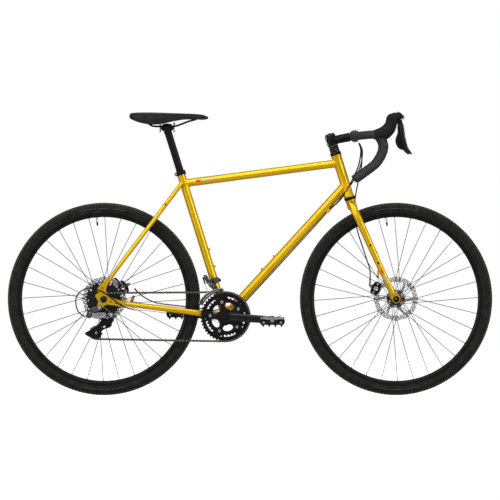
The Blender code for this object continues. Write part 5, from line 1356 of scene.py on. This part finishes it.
def make_stem():
    stem = Shape().turned([(0.0146, 0.1945), (0.0188, 0.1945), (0.0192, 0.1955), (0.0192, 0.2345),
                           (0.0186, 0.2358), (0.0146, 0.2358)], HEAD_BASE, HEAD_AXIS, 64)
    reach = (BAR_CLAMP - head_point(0.2142)).normalized()
    start = head_point(0.2142) + reach * 0.012
    stem.tube([start, BAR_CLAMP - reach * 0.0175],
              lambda s, t: (0.0158 + 0.0010 * s) * (0.96 + 0.05 * (squarish(t) - 1)), 40)
    stem.turned([(0.0153, -0.0225), (0.0200, -0.0225), (0.0208, -0.0212), (0.0208, 0.0212),
                 (0.0200, 0.0225), (0.0153, 0.0225)], BAR_CLAMP, Y_AXIS, 40, True,
                math.radians(98), math.radians(164))
    behind = head_point(0.2142) - reach * 0.0195
    for lift in (-0.0110, 0.0110):
        place = behind + HEAD_AXIS * lift
        stem.box(place + reach * 0.004, (0.0100, 0.0200, 0.0090),
                 Matrix.Rotation(math.radians(-17), 3, "Y"))
    stem.done("stem_body", "black", "steering", "black_alloy", ["stem"], 0.0006)
    face = Shape().turned([(0.0154, -0.0225), (0.0204, -0.0225), (0.0212, -0.0212),
                           (0.0212, 0.0212), (0.0204, 0.0225), (0.0154, 0.0225)],
                          BAR_CLAMP, Y_AXIS, 40, True, math.radians(-78), math.radians(170))
    face.done("stem_faceplate", "gloss", "steering", "black_alloy", bevel=0.0006)
    bolts = Shape()
    for y in (-0.0150, 0.0150):
        for lift in (-0.0195, 0.0195):
            foot = BAR_CLAMP + Vector((0.0030, y, lift))
            bolts.rod(foot - reach * 0.008, foot + reach * 0.0065, 0.0030)
            bolt_head(bolts, foot + reach * 0.0065, reach, 0.0043, 0.0036)
    for lift in (-0.0110, 0.0110):
        spot = behind + HEAD_AXIS * lift + reach * 0.002
        bolts.rod(spot - Y_AXIS * 0.0125, spot + Y_AXIS * 0.0105, 0.0036)
        bolt_head(bolts, spot - Y_AXIS * 0.0120, -Y_AXIS, 0.0046, 0.0030)
    bolt_head(bolts, head_point(0.2402), HEAD_AXIS, 0.0060, 0.0020)
    bolts.done("stem_bolts", "silver", "steering", "black_alloy")
    stack = Shape()
    for low, high in ((0.1712, 0.1786), (0.1790, 0.1864), (0.1868, 0.1942)):
        stack.turned([(0.0146, low), (0.0172, low), (0.0177, low + 0.0006), (0.0177, high - 0.0006),
                      (0.0172, high), (0.0146, high)], HEAD_BASE, HEAD_AXIS, 64)
    stack.turned([(0.0005, 0.2360), (0.0168, 0.2360), (0.0172, 0.2368), (0.0160, 0.2400),
                  (0.0070, 0.2404), (0.0005, 0.2404)], HEAD_BASE, HEAD_AXIS, 64)
    stack.done("stem_spacers", "gloss", "steering", "black_alloy")


def loft(shape, pairs, y, sides=28, steps=4, power=2.6):
    """Skin over flat sections given as (top, bottom, half width, shift) in the XZ plane."""
    tops = curve_through([(x, shift, z) for (x, z), _, _, shift in pairs], steps)
    bottoms = curve_through([(x, half, z) for _, (x, z), half, _ in pairs], steps)
    loops = []
    for top, bottom in zip(tops, bottoms):
        shift, half = top.y, bottom.y
        centre = Vector(((top.x + bottom.x) / 2, y + shift, (top.z + bottom.z) / 2))
        arm = Vector(((top.x - bottom.x) / 2, 0, (top.z - bottom.z) / 2))
        loop = []
        for k in range(sides):
            turn = math.tau * k / sides
            c, s = math.cos(turn), math.sin(turn)
            grow = (abs(c) ** power + abs(s) ** power) ** (-1 / power)
            loop.append(centre + arm * (c * grow) + Y_AXIS * (half * s * grow))
        loops.append(shape.ring(loop))
    return shape.skin(loops)


HOOD = [
    ((0.4442, 0.9580), (0.4550, 0.9295), 0.0160), ((0.4530, 0.9625), (0.4660, 0.9270), 0.0178),
    ((0.4665, 0.9676), (0.4820, 0.9252), 0.0182), ((0.4790, 0.9738), (0.4965, 0.9292), 0.0180),
    ((0.4880, 0.9815), (0.5090, 0.9400), 0.0174), ((0.4940, 0.9900), (0.5205, 0.9550), 0.0168),
    ((0.4962, 0.9990), (0.5270, 0.9730), 0.0164), ((0.4985, 1.0085), (0.5285, 0.9860), 0.0162),
    ((0.5040, 1.0170), (0.5320, 0.9960), 0.0158), ((0.5130, 1.0220), (0.5430, 1.0000), 0.0152),
    ((0.5240, 1.0232), (0.5520, 1.0050), 0.0138), ((0.5350, 1.0205), (0.5520, 1.0120), 0.0095)]
LEVER = [
    ((0.5455, 0.9925), (0.5395, 0.9875), 0.0052), ((0.5510, 0.9820), (0.5385, 0.9760), 0.0060),
    ((0.5542, 0.9640), (0.5395, 0.9610), 0.0060), ((0.5570, 0.9420), (0.5425, 0.9400), 0.0060),
    ((0.5620, 0.9170), (0.5492, 0.9130), 0.0058), ((0.5685, 0.8970), (0.5580, 0.8910), 0.0055),
    ((0.5755, 0.8850), (0.5680, 0.8788), 0.0050), ((0.5825, 0.8758), (0.5785, 0.8715), 0.0034)]
PADDLE = [
    ((0.5410, 0.9740), (0.5375, 0.9725), 0.0026), ((0.5442, 0.9520), (0.5385, 0.9510), 0.0030),
    ((0.5480, 0.9340), (0.5318, 0.9330), 0.0036), ((0.5500, 0.9230), (0.5310, 0.9190), 0.0036),
    ((0.5535, 0.9120), (0.5350, 0.9050), 0.0036), ((0.5585, 0.9020), (0.5450, 0.8930), 0.0036),
    ((0.5630, 0.8945), (0.5590, 0.8880), 0.0028)]
BRACKET = [(0.5265, 0.9855), (0.5265, 0.9985), (0.5455, 0.9985), (0.5472, 0.9890), (0.5395, 0.9820)]


def make_controls(side, word):
    """Hood, bracket, brake lever and shift paddle of one side."""
    y, inward = side * LEVER_Y, -side
    hood = loft(Shape(), [(a, b, half, 0) for a, b, half in HOOD], y)
    rest = [(0.4740, 0.9670), (0.4860, 0.9580), (0.4950, 0.9460), (0.5000, 0.9330)]
    for outside in (-1, 1):
        hood.tube(curve_through([(x, y + outside * 0.0176, z) for x, z in rest], 5), 0.0009, 8)
    hood.done(f"{word}_hood", "hood", "steering", "hood_rubber", [f"{word}_shifter_body"])
    crest = [(0.5280, y, 1.0215), (0.5400, y, 1.0180), (0.5490, y, 1.0090)]
    Shape().tube(curve_through(crest, 5), lambda s, t: 0.0056 - 0.0015 * s, 20).done(
        f"{word}_hood_cap", "gloss", "steering", "black_plastic")
    badge = [(0.5500, y, 1.0130), (0.5530, y, 1.0060), (0.5490, y, 0.9985)]
    Shape().tube(curve_through(badge, 5), 0.0032, 16).done(
        f"{word}_hood_badge", "silver", "steering", "silver_alloy")
    holder = Shape()
    for low, high in ((-0.0100, -0.0066), (0.0066, 0.0100)):
        holder.cut([rounded(BRACKET, 1)], y + low, y + high, 0.0006)
    holder.rod((0.5415, y - 0.0102, 0.9882), (0.5415, y + 0.0102, 0.9882), 0.0020)
    holder.box(Vector((0.5330, y, 0.9940)), (0.0110, 0.0150, 0.0070))
    holder.done(f"{word}_bracket_plates", "black", f"{word}_lever_bracket", "black_alloy",
                [f"{word}_lever_bracket"], 0.0003)
    out, within = -inward * 0.0040, inward * 0.0062
    loft(Shape(), [(a, b, half, out) for a, b, half in LEVER], y).done(
        f"{word}_lever_blade", "gloss", f"{word}_brake_lever", "black_alloy",
        [f"{word}_brake_lever"])
    edge = [(a[0] + 0.0002, y + out, a[1]) for a, _, _ in LEVER[1:]]
    Shape().tube(curve_through(edge, 5), 0.0013, 10).done(
        f"{word}_lever_edge", "silver", f"{word}_brake_lever", "silver_alloy")
    loft(Shape(), [(a, b, half, within) for a, b, half in PADDLE], y).done(
        f"{word}_paddle_blade", "black", f"{word}_shift_paddle", "black_alloy",
        [f"{word}_shift_paddle"])


# ---- brakes ---------------------------------------------------------------------------------
def make_caliper(word, centre, axle, rotor_y, limit, body):
    out = (centre - Vector((axle.x, 0, axle.z))).normalized()
    out.y = 0
    side = Vector((-out.z, 0, out.x))

    def spot(a, b):
        return (centre.x + out.x * a + side.x * b, centre.z + out.z * a + side.z * b)

    low, high = rotor_y - 0.0130, limit
    caliper = Shape()
    outline = [spot(*pair) for pair in ((-0.0140, -0.0180), (-0.0140, 0.0180), (-0.0060, 0.0235),
                                        (0.0120, 0.0250), (0.0170, 0.0), (0.0120, -0.0250),
                                        (-0.0060, -0.0235))]
    bridge = [spot(*pair) for pair in ((0.0050, -0.0200), (0.0050, 0.0200), (0.0130, 0.0230),
                                       (0.0168, 0.0), (0.0130, -0.0230))]
    caliper.cut([rounded(outline)], low, rotor_y - 0.0024, 0.0010)
    caliper.cut([rounded(outline)], rotor_y + 0.0024, high, 0.0010)
    caliper.cut([rounded(bridge)], rotor_y - 0.0040, rotor_y + 0.0040, 0.0005)
    caliper.done(f"{word}_caliper_body", "black", body, "black_alloy", [f"{word}_brake_caliper"])
    details = Shape()
    for b in (-0.0195, 0.0195):
        x, z = spot(-0.0020, b)
        bolt_head(details, Vector((x, high - 0.0004, z)), Y_AXIS, 0.0040, 0.0030)
    x, z = spot(0.0, 0.0)
    details.turned([(0.0015, 0.0004), (0.0060, 0.0010), (0.0076, 0.0016), (0.0086, 0.0002),
                    (0.0086, -0.0006), (0.0015, -0.0006)], Vector((x, low, z)), -Y_AXIS, 40)
    for b in (-0.0165, 0.0165):
        spot_x, spot_z = spot(0.0020, b)
        bolt_head(details, Vector((spot_x, low + 0.0004, spot_z)), -Y_AXIS, 0.0044, 0.0026)
    details.done(f"{word}_caliper_bolts", "silver", body, "silver_alloy", bevel=0.0002)
    arm_edge = [spot(*pair) for pair in ((-0.0085, -0.0060), (-0.0085, 0.0060), (0.0, 0.0092),
                                         (0.0100, 0.0075), (0.0260, 0.0048), (0.0305, 0.0),
                                         (0.0260, -0.0048), (0.0100, -0.0075), (0.0, -0.0092))]
    slot = spot(0.0150, 0.0)
    arm = Shape().cut([rounded(arm_edge), circle(*slot, 0.0022)], high + 0.0003,
                      high + 0.0043, 0.0006)
    arm.done(f"{word}_arm_plate", "silver", f"{word}_caliper_arm", "silver_alloy",
             [f"{word}_caliper_arm"])
    pivot = Shape()
    bolt_head(pivot, Vector((x, high + 0.0042, z)), Y_AXIS, 0.0052, 0.0026)
    x, z = spot(0.0245, 0.0)
    bolt_head(pivot, Vector((x, high + 0.0042, z)), Y_AXIS, 0.0034, 0.0024)
    pivot.done(f"{word}_arm_bolts", "steel", f"{word}_caliper_arm", "steel")


# ---- seat -----------------------------------------------------------------------------------
SADDLE = [
    (-0.4363, 0.0300, 1.0080, 1.0180), (-0.4280, 0.0560, 1.0000, 1.0232),
    (-0.4000, 0.0700, 0.9890, 1.0252), (-0.3600, 0.0715, 0.9820, 1.0254),
    (-0.3200, 0.0600, 0.9845, 1.0246), (-0.2800, 0.0420, 0.9930, 1.0233),
    (-0.2400, 0.0290, 0.9995, 1.0220), (-0.2000, 0.0220, 1.0003, 1.0206),
    (-0.1700, 0.0190, 0.9990, 1.0175), (-0.1534, 0.0100, 1.0020, 1.0110)]
COVER_THICKNESS, ROOF_THICKNESS = 0.0035, 0.0060


def saddle_loops(inset, roof):
    """Arched sections along the saddle, from the tail to the nose."""
    wide = curve_through([(x, half, low) for x, half, low, _ in SADDLE], 8)
    tall = curve_through([(high, 0, 0) for _, _, _, high in SADDLE], 8)
    loops = []
    for (x, half, low), high in zip(wide, (point.x for point in tall)):
        points = []
        for k in range(41):
            turn = math.pi * k / 40
            y = -(half - inset) * math.copysign(abs(math.cos(turn)) ** 0.9, math.cos(turn))
            rise = max(math.sin(turn), 0.0) ** 0.42
            groove = 0.0022 * math.exp(-(y / 0.0075) ** 2)
            points.append(Vector((x, y, low + (high - roof - low - groove) * rise)))
        loops.append(points)
    return loops


def make_saddle():
    cover = Shape()
    outer, inner = saddle_loops(0.0, 0.0), saddle_loops(COVER_THICKNESS, ROOF_THICKNESS)
    cover.skin([cover.ring(a + b[::-1]) for a, b in zip(outer, inner)])
    piece = cover.done("saddle_cover", "leather", "seat", "saddle_cover", ["saddle"])
    trim = Shape()
    for end in (0, -1):
        edge = [loop[end] + Vector((0, 0, 0.0006)) for loop in outer]
        trim.tube(edge, 0.0016, 10)
    nose = [point + Vector((0.0006, 0, 0)) for point in outer[-1]]
    trim.tube(nose, 0.0014, 10)
    for side in (-1, 1):
        seam = [loop[20 + side * 15] + Vector((0, 0, 0.0001)) for loop in outer[3:-4]]
        trim.tube(seam, 0.0006, 8)
    trim.done("saddle_trim", "plastic", "seat", "saddle_cover")
    base = Shape()
    base.box(Vector((-0.2020, 0, 1.0030)), (0.0200, 0.0300, 0.0120))
    for side in (-1, 1):
        base.box(Vector((-0.3920, side * 0.0325, 1.0030)), (0.0260, 0.0160, 0.0160))
    base.done("saddle_base", "plastic", "seat", "black_plastic", bevel=0.0020)
    rail_y = 0.0215
    right = [(-0.3950, -0.0345, 0.9990), (-0.3760, -0.0300, 0.9905), (-0.3600, -0.0240, 0.9790),
             (-0.3450, -rail_y, 0.9745), (-0.3100, -rail_y, 0.9745), (-0.2750, -rail_y, 0.9745),
             (-0.2500, -0.0190, 0.9820), (-0.2250, -0.0165, 0.9915), (-0.2060, -0.0140, 0.9970),
             (-0.1990, -0.0080, 0.9985)]
    left = [(x, -y, z) for x, y, z in reversed(right)]
    Shape().tube(curve_through(right + left, 5), 0.0035, 20).done(
        "saddle_rail_wire", "black", "seat", "steel", ["saddle_rails"])


def make_seatpost():
    top = SEAT_TUBE_TOP + SEAT_AXIS * 0.1490
    post = Shape().rod(SEAT_TUBE_TOP - SEAT_AXIS * 0.130, top - SEAT_AXIS * 0.012, 0.0136, sides=48)
    neck = [top - SEAT_AXIS * 0.020, top - SEAT_AXIS * 0.006, Vector((-0.3000, 0, 0.9600))]
    post.tube(curve_through(neck, 4), lambda s, t: 0.0136 + 0.0010 * s, 40)
    cradle = [(-0.3225, 0.9702), (-0.3225, 0.9660), (-0.3160, 0.9580), (-0.3000, 0.9560),
              (-0.2840, 0.9580), (-0.2775, 0.9660), (-0.2775, 0.9702)]
    post.cut([rounded(cradle, 1)], -0.0270, 0.0270, 0.0012)
    post.cut([rounded([(-0.3170, 0.9665), (-0.3170, 0.9825), (-0.2830, 0.9825),
                       (-0.2830, 0.9665)], 1)], -0.0140, 0.0140, 0.0008)
    lid = [(-0.3175, 0.9786), (-0.3165, 0.9822), (-0.3000, 0.9846), (-0.2835, 0.9822),
           (-0.2825, 0.9786)]
    post.cut([rounded(lid, 1)], -0.0268, 0.0268, 0.0008)
    post.done("seatpost_skin", "black", "seat", "black_alloy", ["seatpost"])
    bolts = Shape()
    for x in (-0.3255, -0.2745):
        bolts.rod((x, 0, 0.9560), (x, 0, 0.9850), 0.0026)
        bolt_head(bolts, Vector((x, 0, 0.9570)), Vector((0, 0, -1)), 0.0045, 0.0035)
        bolts.rod((x, -0.0080, 0.9840), (x, 0.0080, 0.9840), 0.0044)
    bolts.done("seatpost_bolts", "silver", "seat", "steel")


# ---- cables ---------------------------------------------------------------------------------
def below_tube(distance, y):
    reach = DOWN_RADIUS + 0.0032
    under = Vector((DOWN_ALONG.z, 0, -DOWN_ALONG.x))
    return CRANK + DOWN_ALONG * distance + under * math.sqrt(reach ** 2 - y * y) + Y_AXIS * y


ROUTES = {
    "rear_shift_cable": [
        (0.3960, -0.0330, 0.9120), (0.4010, -0.0440, 0.8850), (0.3930, -0.0480, 0.8350),
        (0.3720, -0.0440, 0.7850), (0.3440, -0.0360, 0.7350), (0.3160, -0.0230, 0.6980),
        below_tube(0.5350, -0.0120), below_tube(0.4500, -0.0090), below_tube(0.2500, -0.0090),
        below_tube(0.0600, -0.0090), (-0.0780, -0.0090, 0.2580), (-0.1050, -0.0120, 0.2600),
        (-0.1600, -0.0270, 0.2800), (-0.2600, -0.0425, 0.2930), (-0.3700, -0.0600, 0.3075),
        (-0.4142, -0.0710, 0.3115), (-0.4592, -0.0780, 0.3240), (-0.5022, -0.0780, 0.3550),
        (-0.5297, -0.0780, 0.3740), (-0.5648, -0.0780, 0.3880), (-0.5948, -0.0780, 0.3870),
        (-0.6200, -0.0780, 0.3700), (-0.6299, -0.0780, 0.3435), (-0.6230, -0.0780, 0.3090),
        (-0.6080, -0.0790, 0.2925), (-0.6000, -0.0795, 0.2898)],
    "front_shift_cable": [
        (0.3960, 0.0300, 0.9120), (0.4020, 0.0420, 0.8850), (0.3950, 0.0460, 0.8350),
        (0.3740, 0.0420, 0.7850), (0.3440, 0.0350, 0.7350), (0.3160, 0.0230, 0.6980),
        below_tube(0.5350, 0.0080), below_tube(0.4500, 0.0050), below_tube(0.2500, 0.0030),
        below_tube(0.0600, 0.0030), (-0.0780, 0.0030, 0.2580), (-0.1000, 0.0010, 0.2615),
        (-0.1220, -0.0030, 0.2780), (-0.1390, -0.0120, 0.3200), (-0.1560, -0.0250, 0.3800),
        (-0.1700, -0.0360, 0.4280)],
    "rear_brake_cable": [
        (0.3960, 0.0400, 0.9140), (0.4080, 0.0540, 0.8850), (0.4020, 0.0600, 0.8350),
        (0.3800, 0.0570, 0.7850), (0.3480, 0.0480, 0.7350), (0.3160, 0.0340, 0.6960),
        (0.2740, 0.0215, 0.6660), (0.2200, 0.0200, 0.6230), (0.1000, 0.0200, 0.4920),
        (0.0000, 0.0200, 0.3830), (-0.0450, 0.0210, 0.3380), (-0.0850, 0.0250, 0.3180),
        (-0.1250, 0.0285, 0.3075), (-0.1650, 0.0310, 0.3110), (-0.2200, 0.0375, 0.3185),
        (-0.2800, 0.0460, 0.3255), (-0.3360, 0.0540, 0.3330), (-0.3700, 0.0575, 0.3460),
        (-0.3980, 0.0590, 0.3640), (-0.4200, 0.0600, 0.3860)],
    "front_brake_cable": [
        (0.3960, 0.0210, 0.9100), (0.4040, 0.0260, 0.8850), (0.4050, 0.0330, 0.8350),
        (0.3950, 0.0400, 0.7850), (0.3850, 0.0500, 0.7350), (0.3810, 0.0620, 0.6950),
        (0.3800, 0.0660, 0.6500), (0.3900, 0.0665, 0.5960), (0.4080, 0.0665, 0.5400),
        (0.4260, 0.0640, 0.4850), (0.4360, 0.0610, 0.4500), (0.4356, 0.0590, 0.4014)],
}


# The shares of a route between which the inner wire runs bare; the others are housed all along.
BARE = {"rear_shift_cable": (6 / 25, 15 / 25), "front_shift_cable": (6 / 15, 2.0)}
HOUSED = (2.0, 2.0)
BARE_RADIUS, HOUSING_RADIUS = 0.0009, 0.0023


def make_cables():
    for name, knots in ROUTES.items():
        route = curve_through(knots, 8)
        first, last = BARE.get(name, HOUSED)

        def radius(share, turn):
            return BARE_RADIUS if first < share < last else HOUSING_RADIUS

        shape = Shape().tube(route, radius, 16)
        for end, inward in ((route[0], route[4]), (route[-1], route[-5])):
            shape.rod(end, inward, 0.0029, 0.0028, 16)
        if name == "front_brake_cable":
            shape.done("front_brake_hose", "plastic", "steering", "black_plastic", [name])
            continue
        piece = shape.piece(f"{name}_housing", "plastic")
        Vector(knots[1])
        Vector(knots[6])
        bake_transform(piece)
        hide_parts(name)
    stops = Shape()
    for y in (-0.0115, 0.0078):
        spot = below_tube(0.5345, y)
        stops.rod(spot - DOWN_ALONG * 0.007, spot + DOWN_ALONG * 0.007, 0.0036, 0.0040, 20)
        stops.box(spot + Vector((-0.001, 0, 0.003)), (0.010, 0.0036, 0.006))
    for x, y, z in ((-0.4180, -0.0720, 0.3120), (-0.3310, 0.0533, 0.3326)):
        stops.rod((x - 0.006, y, z - 0.0006), (x + 0.006, y, z + 0.0006), 0.0036, sides=20)
    stops.done("cable_stops", "paint", "frame", "frame_paint", bevel=0.0003)


# ---- stage ----------------------------------------------------------------------------------
def soft_light(name, place, size, power):
    data = bpy.data.lights.new(name, "AREA")
    data.shape = "RECTANGLE"
    data.size, data.size_y = size
    data.energy = power
    light = bpy.data.objects.new(name, data)
    light.location = place
    light.rotation_euler = (Vector((0, 0, 0.5)) - Vector(place)).to_track_quat("-Z", "Y").to_euler()
    bpy.context.scene.collection.objects.link(light)
    return light


def make_world():
    """White behind everything, and a softer white as the light that falls on the bicycle."""
    world = bpy.data.worlds.new("studio")
    world.use_nodes = True
    tree = world.node_tree
    seen = tree.nodes["Background"]
    seen.inputs["Color"].default_value = (1, 1, 1, 1)
    seen.inputs["Strength"].default_value = 1.0
    lighting = tree.nodes.new("ShaderNodeBackground")
    lighting.inputs["Strength"].default_value = AMBIENT
    mix = tree.nodes.new("ShaderNodeMixShader")
    path = tree.nodes.new("ShaderNodeLightPath")
    tree.links.new(path.outputs["Is Camera Ray"], mix.inputs[0])
    tree.links.new(lighting.outputs[0], mix.inputs[1])
    tree.links.new(seen.outputs[0], mix.inputs[2])
    tree.links.new(mix.outputs[0], tree.nodes["World Output"].inputs["Surface"])
    bpy.context.scene.world = world


def make_stage():
    f = Finish("studio_white", (0.50, 0.50, 0.50), 0.75)
    f.bump(f.noise(30.0), 0.02, 0.0005)
    mesh = bpy.data.meshes.new("studio_floor")
    mesh.from_pydata([(-30, -30, 0), (30, -30, 0), (30, 30, 0), (-30, 30, 0)], [], [(0, 1, 2, 3)])
    mesh.materials.append(f.material)
    f.shader.inputs["Emission Color"].default_value = (FLOOR_GLOW, FLOOR_GLOW, FLOOR_GLOW, 1)
    f.link(f.node("ShaderNodeLightPath").outputs["Is Camera Ray"],
           f.shader.inputs["Emission Strength"])
    floor = bpy.data.objects.new("studio_floor", mesh)
    bpy.context.scene.collection.objects.link(floor)
    lights = [soft_light("overhead", (-0.2, -1.3, 3.4), (5.0, 1.4), 92),
              soft_light("front_fill", (-1.2, -4.8, 3.0), (4.0, 1.4), 80),
              soft_light("left_strip", (-4.2, -3.2, 1.4), (0.7, 2.6), 70),
              soft_light("right_strip", (4.2, -3.2, 1.4), (0.7, 2.6), 90),
              soft_light("rear_fill", (1.5, 4.5, 2.6), (4.0, 2.0), 48)]
    make_world()
    bpy.context.scene.view_settings.view_transform = "Standard"


make_frame()
make_stays()
make_stickers()
make_fork()
make_wheels()
make_chain()
make_cassette()
make_crankset()
make_pedal("right", 1)
make_pedal("left", -1)
make_rear_derailleur()
make_front_derailleur()
make_bar()
make_bar_bulges()
make_stem()
make_controls(-1, "right")
make_controls(1, "left")
make_caliper("front", FRONT_CALIPER, FRONT_AXLE, FRONT_ROTOR_Y, 0.0540, "steering")
make_caliper("rear", REAR_CALIPER, REAR_AXLE, REAR_ROTOR_Y, 0.0650, "frame")
make_seatpost()
make_saddle()
make_cables()
make_stage()
